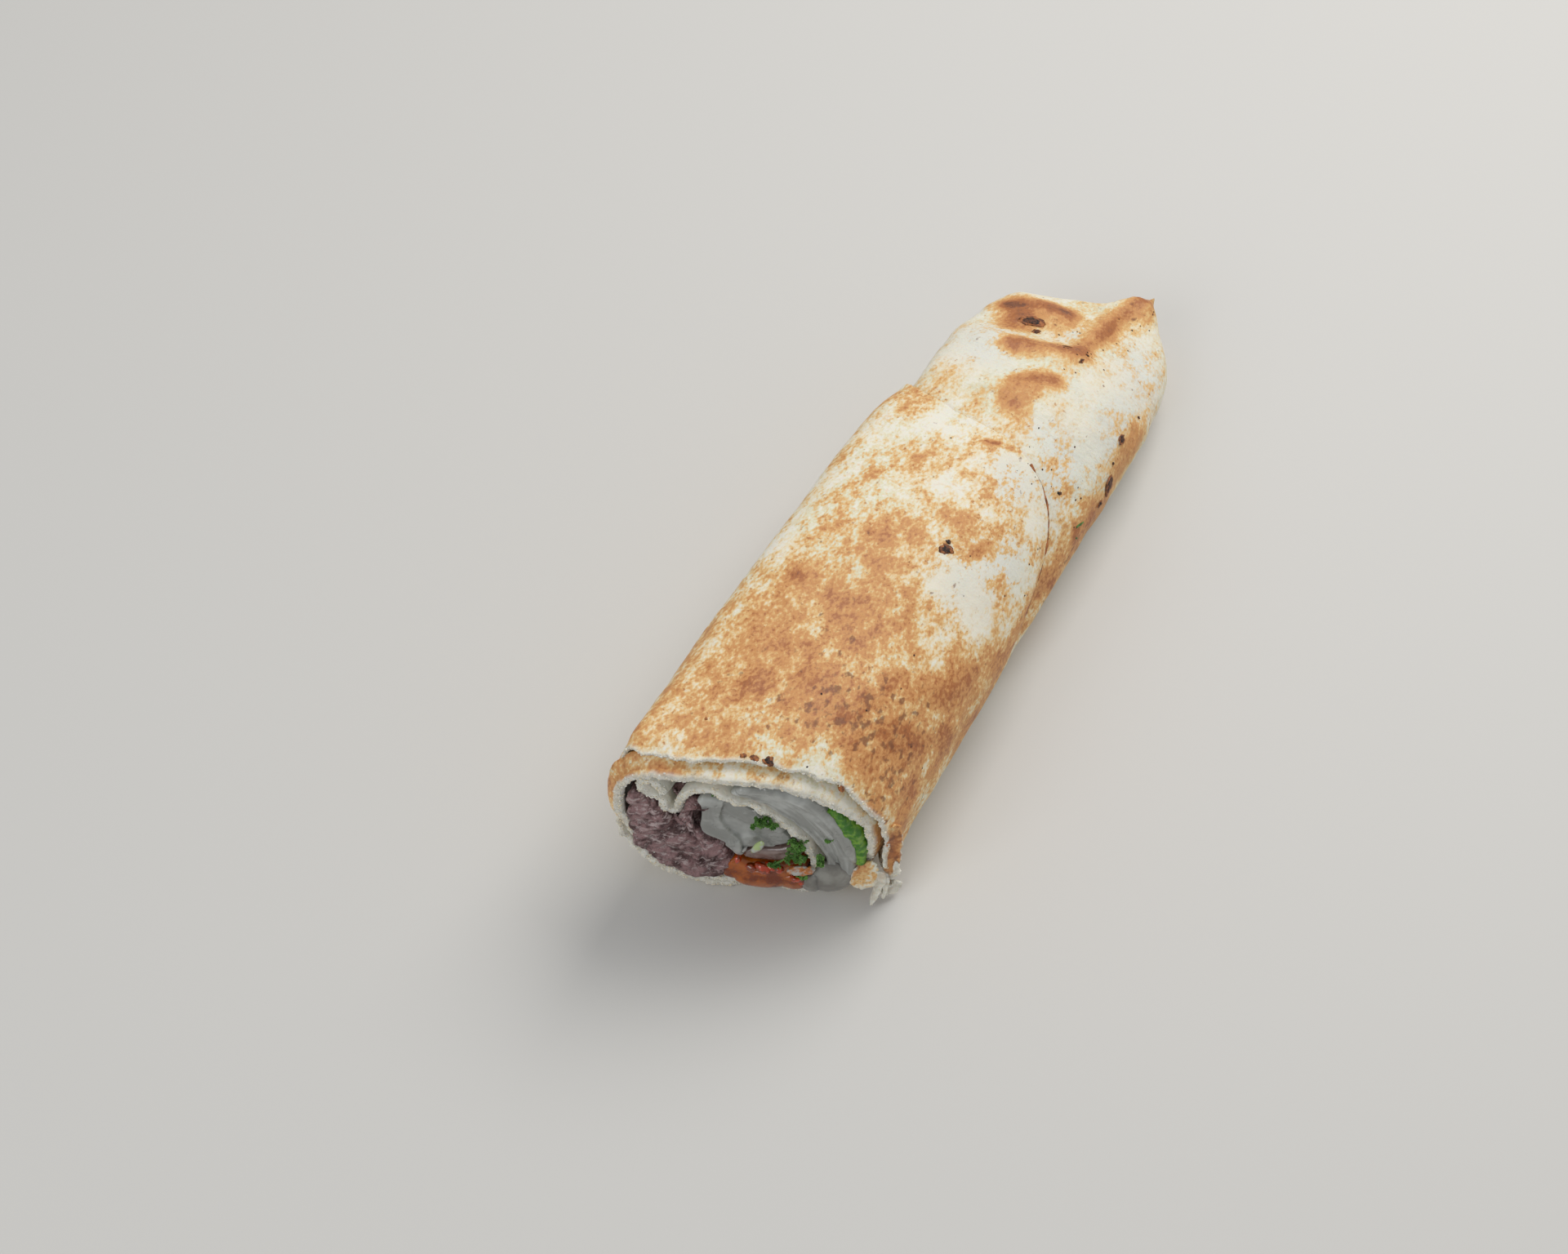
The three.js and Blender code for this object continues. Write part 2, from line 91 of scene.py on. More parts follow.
# Turn angles of the one sheet of bread as it winds outwards: 0 at the bottom, 90 left, 180 top.
FLAP_JOINS_AT = 16.0
STEPS_OUT_AT, STEPS_OUT_OVER = 308.0, 30.0
FREE_FROM, FREE_TO = 416.0, 434.0
RIM_TOP, RIM_END = 540.0, 665.0
RIM_REACH, RIM_ROUND, RIM_DRIFT, RIM_CORNER = 88.0, 2.2, 0.05, 3.0
SWELL_FROM, SWELL_TO = 0.5, 20.0
SWELL_TURN_FROM, SWELL_TURN_TO = 60.0, 100.0
PINCH, PINCH_AT, PINCH_WIDTH = 1.2, 496.0, 14.0
FLARE_OUT, FLARE_DOWN, FLARE_TURN = 4.6, 3.4, 44.0
MM_PER_TURN_DEGREE = 0.35
SHOULDER_CREASE, SHOULDER_CREASE_AT = 1.1, 121.0
TORN_BACK_LEFT, TORN_BACK_TOP = 3.5, 1.3

# Stations along the roll: y, left side, right side, top, underside.
STATIONS = np.array([
    (-14, -24.2, 20.0, 38.4, 0),
    (0, -24.9, 20.0, 38.4, 0),
    (30, -24.9, 19.5, 37.4, 0),
    (60, -24.4, 18.7, 35.2, 0),
    (90, -23.6, 17.8, 31.2, 0),
    (108, -22.8, 17.3, 26.6, 0),
    (119, -21.8, 16.6, 22.4, 0),
    (127, -19.9, 15.4, 18.6, 0.3),
    (132, -16.6, 14.2, 16.2, 0.8),
    (135.2, -11.6, 12.8, 14.6, 1.4),
    (138, -5.2, 10.8, 13.8, 2.0),
    (141, -0.9, 8.2, 13.5, 3.2),
    (144, 1.2, 6.2, 13.4, 5.4),
    (ROLL_LENGTH, 2.8, 5.2, 12.6, 8.6),
])

# Crosswise folds of the tip: rise, distance along the roll, half-width and slant of each, and how
# far it reaches to the left and to the right.
TIP_FOLDS = (
    (1.5, 114.5, 3.4, 0.30, -16.0, 4.0),
    (-1.2, 120.5, 3.0, 0.14, -20.0, 1.0),
    (1.2, 127.0, 3.2, -0.10, -20.0, -6.0),
    (0.8, 101.5, 2.2, 0.40, -12.0, 0.0),
)
# The lengthwise fold that runs on from them to the ear.
RIDGE_RISE, RIDGE_AT, RIDGE_WIDTH = 1.1, 0.3, 2.0

# Points of the sheet's crumpled inner end, from its first pleat to where it turns under the fillings.
PLEAT_TURN = 1.15
PLEAT_START = [(-15.2, 27.6), (-15.8, 29.2)]
TOP_TURN = (-17.6, 30.8)
LEFT_ARM = [(-17.6, 28.2), (-16.0, 26.2)]
HANGING_TURN = (-13.7, 23.9)
RIGHT_ARM = [(-12.2, 26.6), (-11.4, 29.2)]
FLAP = [
    (-9.6, 30.8), (-6.4, 30.8), (-2.6, 29.0), (0.8, 26.2), (3.8, 22.9), (6.4, 19.2),
    (8.5, 15.0), (9.2, 11.4), (8.4, 8.2), (6.0, 6.2), (2.4, 5.1),
]

MIDDLE = (SECTION_LEFT + SECTION_RIGHT) / 2
HALF_WIDTH = (SECTION_RIGHT - SECTION_LEFT) / 2
OUTER_DEPTH = BREAD / 2
INNER_DEPTH = OUTER_DEPTH + BREAD + LAYER_GAP
MM = 0.001

MODEL_LOW, MODEL_HIGH = (np.array(corner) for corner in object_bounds())
# From the roll's own frame to the model's: the middle of the whole is at 0 across and along.
ROLL_SHIFT_ACROSS = 1.459
ROLL_SHIFT = np.array([ROLL_SHIFT_ACROSS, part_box("flatbread")[1].y / MM - ROLL_LENGTH, 0.0])


# ---------------- numbers
def smooth(value, low, high):
    """Eased step from 0 at low to 1 at high."""
    t = np.clip((value - low) / (high - low), 0, 1)
    return t * t * (3 - 2 * t)


def lerp(a, b, t):
    """The value a share t of the way from a to b."""
    return a + (b - a) * t


def powered(value, exponent):
    """A power that keeps the sign."""
    return np.sign(value) * np.abs(value) ** exponent


def hashed(x, y, z, seed):
    """A repeatable number from 0 to 1 for each whole-number place."""
    mask = 0xFFFFFFFF
    h = (x * 374761393 + y * 668265263 + z * 1274126177 + seed * 362437) & mask
    h = ((h ^ (h >> 13)) * 1103515245) & mask
    h = ((h ^ (h >> 15)) * 747796405) & mask
    return ((h ^ (h >> 16)) & 0xFFFFFF) / 0xFFFFFF


def noise(points, size, seed=0):
    """Smooth noise from -1 to 1 at points (..., 3), with features about size apart."""
    scaled = np.asarray(points, float) / size
    cell = np.floor(scaled).astype(np.int64)
    t = scaled - cell
    t = t * t * (3 - 2 * t)
    total = 0
    for dx in (0, 1):
        wx = t[..., 0] if dx else 1 - t[..., 0]
        for dy in (0, 1):
            wy = t[..., 1] if dy else 1 - t[..., 1]
            for dz in (0, 1):
                wz = t[..., 2] if dz else 1 - t[..., 2]
                value = hashed(cell[..., 0] + dx, cell[..., 1] + dy, cell[..., 2] + dz, seed)
                total = total + wx * wy * wz * value
    return 2 * total - 1


def rough(points, size, octaves=3, seed=0):
    """Noise with finer and weaker copies of itself on top."""
    total = 0
    for k in range(octaves):
        total = total + noise(points, size / 2 ** k, seed + 31 * k) / 2 ** k
    return total


def along_line(values, size, seed):
    """Noise along one number, such as a distance along an edge."""
    values = np.asarray(values, float)
    return noise(np.stack([values, values * 0, values * 0], axis=-1), size, seed)


def spline(points, count):
    """count points on a smooth curve through points, ends included."""
    p = np.asarray(points, float)
    last = len(p) - 1
    at = np.linspace(0, last, count)
    i = np.minimum(at.astype(int), last - 1)
    t = (at - i)[:, None]
    before, a, b, after = p[np.maximum(i - 1, 0)], p[i], p[i + 1], p[np.minimum(i + 2, last)]
    slope_a, slope_b = (b - before) / 2, (after - a) / 2
    cubic = (2 * a - 2 * b + slope_a + slope_b) * t ** 3
    return cubic + (-3 * a + 3 * b - 2 * slope_a - slope_b) * t ** 2 + slope_a * t + a


# ---------------- the roll
def station(y, column):
    """Reads one column of the stations at distances along the roll."""
    last = len(STATIONS) - 1
    i = np.clip(np.searchsorted(STATIONS[:, 0], y) - 1, 0, last - 1)
    at, value = STATIONS[:, 0], STATIONS[:, column]
    before, after = np.maximum(i - 1, 0), np.minimum(i + 2, last)
    span = at[i + 1] - at[i]
    slope_a = (value[i + 1] - value[before]) / (at[i + 1] - at[before])
    slope_b = (value[after] - value[i]) / (at[after] - at[i])
    t = np.clip((y - at[i]) / span, 0, 1)
    ease = t * t * (3 - 2 * t)
    curve = t * (1 - t) ** 2 * slope_a * span - t * t * (1 - t) * slope_b * span
    return value[i] + (value[i + 1] - value[i]) * ease + curve


def tip_folds(x, y):
    """Height of the folds at places across and along the roll."""
    reach = smooth(y, 113, 121) * (1 - smooth(y, 139, 146))
    total = RIDGE_RISE * reach * np.exp(-(((x - RIDGE_AT) / RIDGE_WIDTH) ** 2))
    for rise, at, width, slant, left, right in TIP_FOLDS:
        window = smooth(x, left - 4, left + 4) * (1 - smooth(x, right - 5, right + 5))
        total = total + rise * window * np.exp(-(((y - at - slant * x) / width) ** 2))
    return total


def place(x, y, z):
    """Takes points of the section, at distances along the roll, to their real places."""
    left, right, top = station(y, 1), station(y, 2), station(y, 3)
    under = np.maximum(station(y, 4), 0)
    across = (x - SECTION_LEFT) / (SECTION_RIGHT - SECTION_LEFT)
    lean = 1 - LEAN * (x - MIDDLE) / HALF_WIDTH
    height = z / SECTION_HEIGHT * lerp(1, lean, z / SECTION_HEIGHT)
    # Soft dents of the top, and a slight waver of the roll's line.
    dents = 0.5 * np.sin(y / 13 + 1.1) * np.sin(x / 9 + 0.4) + 0.35 * np.sin(y / 7.5 - x / 11)
    waver = 0.45 * np.sin(y / 19 + 0.6) + 0.25 * np.sin(y / 8.5 + 2)
    soft = 1 - smooth(y, 112, 134)
    real_x = lerp(left, right, across)
    return np.stack([
        real_x + waver * height * soft,
        y + 0 * x,
        lerp(under, top, height) + height * (dents * soft + tip_folds(real_x, y)),
    ], axis=-1)


def cut_at(x):
    """How far along the roll the slanting plane of the cut lies."""
    return x * math.tan(CUT_SLANT)


def slanted(x, y):
    """Shifts a distance along the roll so that rings turn from the slant of the cut to square."""
    return y + cut_at(x) * (1 - smooth(y, 0, 60))


def turn_point(degrees, depth):
    """Section point at a turn angle and a depth below the outside."""
    angle = np.radians(degrees)
    across, rise = -np.sin(angle), -np.cos(angle)
    right, up = across > 0, rise > 0
    top = np.where(right, CORNER_TOP_RIGHT, CORNER_TOP_LEFT)
    bottom = np.where(right, CORNER_BOTTOM_RIGHT, CORNER_BOTTOM_LEFT)
    corner = np.where(up, top, bottom)
    widest = np.where(right, WALL_HEIGHT_RIGHT, WALL_HEIGHT_LEFT)
    reach = np.where(up, SECTION_HEIGHT - widest, widest + SAG)
    x = MIDDLE + (HALF_WIDTH - depth) * powered(across, 2 / corner)
    z = widest + (reach - depth) * powered(rise, 2 / corner)
    return x, np.maximum(z, depth)


def rim_at(degrees):
    """How far along the roll the free rim of the bread lies."""
    fall = np.clip((degrees - RIM_TOP) / (RIM_END - RIM_TOP), 0, 1)
    curved = RIM_REACH * (1 - fall ** RIM_ROUND) ** (1 / RIM_ROUND)
    return np.where(degrees < RIM_TOP, RIM_REACH + RIM_DRIFT * (RIM_TOP - degrees), curved)


def sheet_depth(degrees, y):
    """Depth of the middle of the sheet below the outside."""
    under_rim = smooth(degrees, STEPS_OUT_AT, STEPS_OUT_AT + STEPS_OUT_OVER)
    beyond = y - rim_at(degrees + 360)
    past_rim = smooth(beyond, SWELL_FROM, SWELL_TO) * smooth(degrees, SWELL_TURN_FROM, SWELL_TURN_TO)
    depth = lerp(INNER_DEPTH, OUTER_DEPTH, np.maximum(under_rim, past_rim))
    crease = SHOULDER_CREASE * np.exp(-(((degrees - SHOULDER_CREASE_AT) / 4.5) ** 2))
    return lerp(depth, OUTER_DEPTH + crease, shoulder(degrees, y))


def shoulder(degrees, y):
    """How far the inner turn swells out at the left of the cut, where the outer one is torn back."""
    turned = smooth(degrees, 64, 80) * (1 - smooth(degrees, 142, 176))
    return turned * smooth(y, -0.6, 2.2) * (1 - smooth(y, 2.5, 5.0))


def arc(centre, radius, start, stop):
    """Three points on an arc between two angles in degrees."""
    angles = np.radians(np.linspace(start, stop, 3))
    return [(centre[0] + radius * math.cos(a), centre[1] + radius * math.sin(a)) for a in angles]


def inner_end():
    """The crumpled inner end as turn angles below FLAP_JOINS_AT and their section points."""
    points = PLEAT_START + arc(TOP_TURN, PLEAT_TURN, 20, 190) + LEFT_ARM
    points += arc(HANGING_TURN, PLEAT_TURN, 200, 350) + RIGHT_ARM + FLAP
    for back in (8, 0):
        x, z = turn_point(FLAP_JOINS_AT - back, INNER_DEPTH)
        points.append((float(x), float(z)))
    line = spline(points, 400)
    steps = np.linalg.norm(np.diff(line, axis=0), axis=1)
    length = np.concatenate([[0], np.cumsum(steps)])
    turns = FLAP_JOINS_AT - (length[-1] - length) / MM_PER_TURN_DEGREE
    return turns, line[:, 0], line[:, 1]


INNER_TURNS, INNER_X, INNER_Z = inner_end()
SHEET_STARTS = float(INNER_TURNS[0])


def sheet_middle(turn, y):
    """Section point of the middle of the sheet at turn angles and distances along the roll."""
    depth = sheet_depth(turn, y)
    wrap = turn > FREE_FROM
    pinched = (1 - smooth(y, 4, 26)) * np.exp(-(((turn - PINCH_AT) / PINCH_WIDTH) ** 2))
    rim = rim_at(turn)
    pressed = (1 - smooth(rim - y, 0, 11)) * smooth(turn, FREE_TO, FREE_TO + 25)
    lapped = smooth(turn, FREE_FROM - 14, FREE_FROM + 8) * smooth(y, rim - 5, rim + 5)
    outside = OUTER_DEPTH - PINCH * pinched + 0.62 * pressed + 0.9 * lapped * (1 - pressed)
    depth = np.where(wrap, outside, depth + 0.5 * lapped)
    x, z = turn_point(turn, depth)
    loose = (1 - smooth(y, 0, 10)) * smooth(turn, RIM_END - FLARE_TURN, RIM_END)
    x = x + FLARE_OUT * loose * loose
    z = z - FLARE_DOWN * loose
    inner = turn < FLAP_JOINS_AT
    x = np.where(inner, np.interp(turn, INNER_TURNS, INNER_X), x)
    z = np.where(inner, np.interp(turn, INNER_TURNS, INNER_Z), z)
    return x, z


def sheet_frame(turn, y):
    """Middle of the sheet and the direction across it that points out of the roll."""
    x, z = sheet_middle(turn, y)
    ax, az = sheet_middle(turn - 0.8, y)
    bx, bz = sheet_middle(turn + 0.8, y)
    dx, dz = bx - ax, bz - az
    size = np.maximum(np.hypot(dx, dz), 1e-6)
    return x, z, -dz / size, dx / size


def in_row(points):
    """From the roll's own frame in millimetres to the model's frame in metres."""
    return (np.asarray(points, float) + ROLL_SHIFT) * MM


def inside_model(points):
    """Keeps places, in metres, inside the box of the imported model."""
    return np.clip(points, MODEL_LOW, MODEL_HIGH)


# ---------------- meshes
def face_rows(*corners):
    """Faces, a row each, from arrays that hold the point numbers of every corner."""
    return np.stack(corners, -1).reshape(-1, len(corners))


def grid_quads(columns, loop):
    """Quads over a grid of columns, each a closed loop of points."""
    column, row = np.meshgrid(np.arange(columns - 1), np.arange(loop), indexing="ij")
    following = (row + 1) % loop
    here, beyond = column * loop, (column + 1) * loop
    return face_rows(here + row, beyond + row, beyond + following, here + following)


def point_normals(points, faces):
    """Outward directions at points, averaged over their faces."""
    total = np.zeros_like(points)
    for face in faces:
        across = points[face[:, 2]] - points[face[:, 0]]
        other = points[face[:, -1]] - points[face[:, 1]]
        area = np.cross(across, other)
        for k in range(face.shape[1]):
            np.add.at(total, face[:, k], area)
    size = np.linalg.norm(total, axis=1, keepdims=True)
    return total / np.maximum(size, 1e-12)


def enclosed(points, faces):
    """Signed volume that faces enclose, positive when they point outwards."""
    total = 0.0
    for face in faces:
        a = points[face[:, 0]]
        for k in range(1, face.shape[1] - 1):
            total += np.einsum("ij,ij->", a, np.cross(points[face[:, k]], points[face[:, k + 1]]))
    return total / 6


def new_object(name, data):
    """An object in the scene at the origin."""
    made = bpy.data.objects.new(name, data)
    bpy.context.collection.objects.link(made)
    return made


def mesh_of(name, places, faces):
    """A smooth mesh from places in metres and a list of arrays of faces."""
    mesh = bpy.data.meshes.new(name)
    polygons = [tuple(int(i) for i in row) for face in faces for row in face]
    mesh.from_pydata(places.tolist(), [], polygons)
    mesh.polygons.foreach_set("use_smooth", np.full(len(mesh.polygons), True))
    return mesh


def make_piece(name, points, faces, attributes=None):
    """A mesh object from points in the roll's frame and a list of arrays of faces."""
    if enclosed(points, faces) < 0:
        faces = [face[:, ::-1] for face in faces]
    mesh = mesh_of(name, inside_model(in_row(points)), faces)
    for key, values in (attributes or {}).items():
        layer = mesh.attributes.new(key, "FLOAT", "POINT")
        layer.data.foreach_set("value", np.asarray(values, np.float32).ravel())
    mesh.update()
    return new_object(name, mesh)


def settle(piece, slot, *nodes):
    """Makes a finished piece part of the object, in place of the model's nodes that it stands for."""
    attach(piece, "root")
    if nodes:
        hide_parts(*nodes)
    return piece


# ---------------- toasted areas of the bread, with painted shade on the right flank and painted sheen
# Each: middle x, y, z, reach across and along the roll, all in mm, and strength.
# Entries on the lower right flank (x from 17 to 20.5, z below 26) are partly painted shade: they brown the
# flank more than its toast alone, for the shade that falls there.
TOAST_AND_FLANK_SHADE = (
    (-9, 17, 38, 12, 13, 0.75), (-20, 22, 37, 6, 12, 0.35), (-16, 36, 37, 7, 8, 0.42),
    (-18, 0, 38, 7, 6, 0.3), (-5, 4, 38.7, 6, 5, 0.45), (-7, 20, 38, 6, 5, 0.35),
    (8, 14, 35, 6, 4, 0.2), (-5, 33, 37, 9, 6, 0.5), (5, 20, 36, 8, 9, 0.85), (12, 20, 32, 6, 9, 0.7),
    (17, 15, 26, 6, 9, 0.9), (18, 8, 24, 4, 6, 0.6), (4, 28, 35.5, 6, 5, 0.5),
    (12.5, 30, 30, 5, 6, 0.4), (9, 37, 32.5, 5, 5, 0.45), (1, 40, 36, 6, 6, 0.55),
    (16.5, 36, 25.5, 4, 8, 0.8), (18.8, 30, 21, 3.5, 10, 0.7), (18, 42, 22, 4, 14, 0.6),
    (-7, 44, 36.6, 7, 6, 0.45), (4.5, 45, 34.4, 5, 5, 0.4), (-3, 55, 35.6, 6, 6, 0.4),
    (-12, 52, 36.8, 6, 8, 0.4), (18.6, 56, 17, 3.5, 14, 0.75), (17, 78, 13, 4, 14, 0.9),
    (17, 97, 13, 4, 13, 1.1), (15.5, 112, 14, 3.5, 8, 0.5), (5, 75, 32, 4, 3, 0.45),
    (9, 71, 30, 3, 4, 0.25), (7, 64, 31.7, 5, 4, 0.45), (3, 65, 33, 6, 2.5, 0.35),
    (-12.5, 121.5, 21, 4.6, 3.2, 0.55), (-8.5, 127.5, 19, 4, 2.6, 0.9), (-15.5, 124, 19, 3, 2.4, 0.8),
    (3.6, 140.5, 12.6, 2.8, 3, 0.5), (3, 127, 18, 5, 2.4, 0.2), (-24, 62, 22, 6, 16, 0.55),
    (-24, 22, 18, 7, 12, 0.5), (-23, 100, 14, 6, 10, 0.5), (-20, 84, 30, 5, 9, 0.45),
    (-14, 66, 35, 7, 8, 0.3), (-2, 30, 0, 9, 18, 0.7), (-4, 76, 0, 8, 18, 0.7),
    (-3, 112, 0, 8, 10, 0.6), (-14, 134, 8, 6, 4, 0.5), (10, 134, 5, 5, 4, 0.5),
    (18, 21, 24, 4, 7, 0.3), (19, 32, 20, 3.5, 8, 0.4), (19, 44, 15, 3.5, 8, 0.5),
    (2.5, 25, 36.8, 4, 3, 0.3), (14.6, 14.7, 30, 4, 4, 0.3), (-2, 95.5, 28.7, 3, 3, 0.2),
    (3, 4, 37.5, 5, 3.5, -0.35), (-19.5, 25, 37, 4, 9, -0.25), (5, 39, 34, 6, 6, -0.25),
    (12, 67, 27, 3.5, 4, -0.35), (-20, 81, 31, 5, 7, -0.35), (9, 88, 26, 5, 4, -0.3),
    (-10.7, 100.5, 28.5, 4, 4, -0.5), (-8, 91, 29.5, 5, 3, -0.3), (5.3, 81, 30.6, 3.5, 3.5, -0.4),
    (20.5, 17, 15, 5, 15, 0.45), (19.5, 47, 13, 4, 13, 0.6), (-22.5, 4, 26, 5, 6, 0.4),
    (-20.5, -2.5, 39, 3.5, 4, 0.5), (-9.4, -2, 38.8, 4, 2.5, 0.35), (18.5, 33, 20, 3, 7, 0.4),
)
# Where the toast has turned to dark brown freckles, written in the same way.
FRECKLED = (
    (4, 19, 37, 7, 7, 0.9), (10, 21, 34, 6, 8, 1.0), (16, 15, 27, 5, 9, 1.0), (-6, 15, 38, 7, 7, 0.25),
    (1, 10, 38, 3, 3, 0.4), (-12, 122, 21, 4, 3, 0.3), (3, 140, 12.5, 2.5, 4, 0.6),
    (17, 90, 12, 4, 12, 0.4), (-2, 30, 37, 6, 8, 0.3), (15, 30, 28, 4, 8, 0.35),
    (-24, 60, 22, 6, 12, 0.45), (-2, 50, 0, 8, 30, 0.5),
)
# Cool white areas, written in the same way: pale dough, partly a painted cool sheen of the sky on the
# bread's whites.
CHALK_AND_SHEEN = (
    (13, 108, 19, 6, 12, 1.2), (11, 126, 15, 6, 8, 1.2), (-15, 108, 27, 6, 8, 1.2),
    (-4, 124, 19.5, 3, 4.5, 1.2), (5, 81, 31, 4, 4, 1.2), (9, 55, 31, 6, 7, 0.8),
    (7, 95, 27, 5, 5, 0.7), (10, 90, 25, 4, 5, 0.6), (-22, 122, 14, 6, 10, 1.0),
    (4, 107, 25.6, 4, 4, 0.5), (-10, 104, 28.6, 5, 2.4, 0.6), (14, 66, 26, 4, 6, 0.7),
    (12, 89, 24, 4, 7, 0.9), (11, 64, 29, 4, 5, 0.8), (6, 76.5, 31, 3, 3, 0.8), (3, 94, 28, 3, 3, 0.6),
    (9, 81, 28.5, 3, 4, 0.6),
)
# Where tiny black specks lie, written in the same way.
PEPPERED = (
    (0, 118, 22, 6, 6, 0.9), (4, 128, 18, 5, 8, 0.6), (-4, 104, 27, 9, 8, 0.25),
    (6, 86, 28, 9, 9, 0.35), (14, 78, 22, 8, 16, 0.35), (8, 52, 33, 10, 12, 0.2),
    (12, 24, 33, 10, 16, 0.2), (-8, 124, 20, 5, 5, 0.4), (-6, 20, 38, 16, 18, 0.08),
    (3, 138, 13, 4, 4, 0.7),
)
# Toasted crests of the tip's folds: half-width in mm, strength, and points along each.
CRESTS = (
    (2.7, 1.16, (
        (-9.4, 110.0, 26.9), (-7.5, 112, 26), (-4.4, 114, 25.1), (-0.9, 115.6, 24.4),
        (1.1, 117.6, 23.4),
    )),
    (2.1, 1.04, (
        (1.1, 117.6, 23.4), (0.8, 123.3, 19.5), (1.3, 127.4, 18.5), (1.0, 133.6, 14.8),
        (1.6, 138, 13.7),
    )),
    (2.2, 0.7, ((1.2, 136, 14), (2.1, 141.5, 12.6), (3.0, 144.5, 12.8))),
    (2.1, 1.04, (
        (-5.2, 99.4, 28.4), (-4.5, 100.7, 28.3), (-2.4, 103.2, 27.8), (-0.8, 105.1, 27.2),
        (0.6, 106.4, 26.8),
    )),
    (2.5, 0.96, ((-4.4, 99.2, 28.4), (-3.2, 97.0, 28.7))),
    (1.9, 0.8, ((-3.6, 100.0, 28.3), (-1.2, 101.6, 28.0), (-1.6, 99.2, 28.4))),
    (1.9, 0.85, ((-16.4, 123.6, 19.8), (-12.4, 126.4, 19.4), (-9.1, 128.4, 18.9), (-6.0, 129.8, 18))),
    (2.6, 0.75, ((-13.5, 117.2, 23.5), (-12.6, 120, 22), (-12.8, 123, 20.8))),
    (0.8, 1.3, ((-1.6, 84.5, 31.7), (0.6, 85.8, 31.2))),
    (1.0, 1.3, ((2.4, 86.2, 30.6), (4.4, 86.6, 29.6))),
)


def stroke(points):
    """Strength of the toasted crests at points in the roll's frame."""
    points = np.asarray(points, float)
    total = np.zeros(points.shape[:-1])
    for width, strength, line in CRESTS:
        nearest = np.full(points.shape[:-1], 1e6)
        for a, b in zip(line[:-1], line[1:]):
            a, b = np.array(a, float), np.array(b, float)
            share = np.clip(((points - a) @ (b - a)) / ((b - a) @ (b - a)), 0, 1)
            away = np.linalg.norm(points - a - share[..., None] * (b - a), axis=-1)
            nearest = np.minimum(nearest, away)
        golden_edge = 0.27 * np.exp(-((nearest / width / 2.3) ** 2))
        total = np.maximum(total, strength * np.exp(-((nearest / width) ** 2)) + golden_edge)
    return total


def zone(points, spots):
    """Summed strength of the spots at points in the roll's frame."""
    total = np.zeros(points.shape[:-1])
    for x, y, z, across, along, strength in spots:
        square = ((points[..., 0] - x) ** 2 + (points[..., 2] - z) ** 2) / across ** 2
        square = square + ((points[..., 1] - y) / along) ** 2
        total = total + strength * np.exp(-square)
    return 1 - np.exp(-1.5 * total)


# ---------------- the sheet of bread
# Rows of the sheet: distances behind the cut in mm, rows across an edge, and one for each of the last mm.
CUT_ROWS = [0, 0.22, 0.5, 0.85, 1.3, 1.9, 2.6, 3.5]
EDGE_ROWS = 3
TIP_ROWS = 9
SHORTEST_FULL = 30  # shorter columns draw the rows behind the cut together with all the others
INNER_END_REACH = 118.0  # how far back the inner turns run
SPLIT_TURN = 70  # where the piece of the inner end stops and that of the roll starts
ROLL_ROW_STEP, HIDDEN_ROW_STEP, INNER_ROW_STEP = 0.95, 4.0, 6.0


def cut_start(turn):
    """Where the torn cut edge of the sheet lies, before the slant: below 0 is towards the viewer."""
    length = turn * MM_PER_TURN_DEGREE
    torn = 0.34 * along_line(length, 2.3, 5) + 0.24 * along_line(length, 0.8, 6)
    torn = torn + 0.1 * along_line(length, 0.35, 7)
    under_top = smooth(turn, 70, 110) * (1 - smooth(turn, 215, 262))
    flap = smooth(turn, -150, -110) * (1 - smooth(turn, -10, 20))
    corner = smooth(turn, RIM_END - 16, RIM_END - 1)
    ragged = corner * (5.5 + 2.2 * along_line(length, 1.1, 8))
    left = smooth(turn, 424, 444) * (1 - smooth(turn, 486, 520))
    top = smooth(turn, 486, 520) * (1 - smooth(turn, 560, 615))
    back = TORN_BACK_LEFT * left + TORN_BACK_TOP * top
    return back - 0.25 - torn * (1 + 0.6 * (turn > FREE_FROM)) - 1.25 * under_top - 1.5 * flap + ragged


def sheet_end(turn):
    """Where the far edge of the sheet lies: the tip of the roll, or its round free rim."""
    length = turn * MM_PER_TURN_DEGREE
    wavy = 0.55 * along_line(length, 7, 11) + 0.22 * along_line(length, 1.7, 12)
    rim = np.maximum(rim_at(turn) + wavy, RIM_CORNER)
    return lerp(ROLL_LENGTH, rim, smooth(turn, FREE_FROM, FREE_TO))


def thickness(turn, to_far_edge, from_cut):
    """Full thickness of the sheet, thinner at its rim and uneven elsewhere."""
    spot = np.stack([turn * MM_PER_TURN_DEGREE, to_far_edge, from_cut * 0], axis=-1)
    uneven = 1 + 0.12 * noise(spot, 7, 21)
    at_rim = lerp(0.42, 1, smooth(to_far_edge, 0, 7))
    rimmed = smooth(turn, FREE_FROM, FREE_TO)
    return BREAD * uneven * lerp(1, at_rim, rimmed)


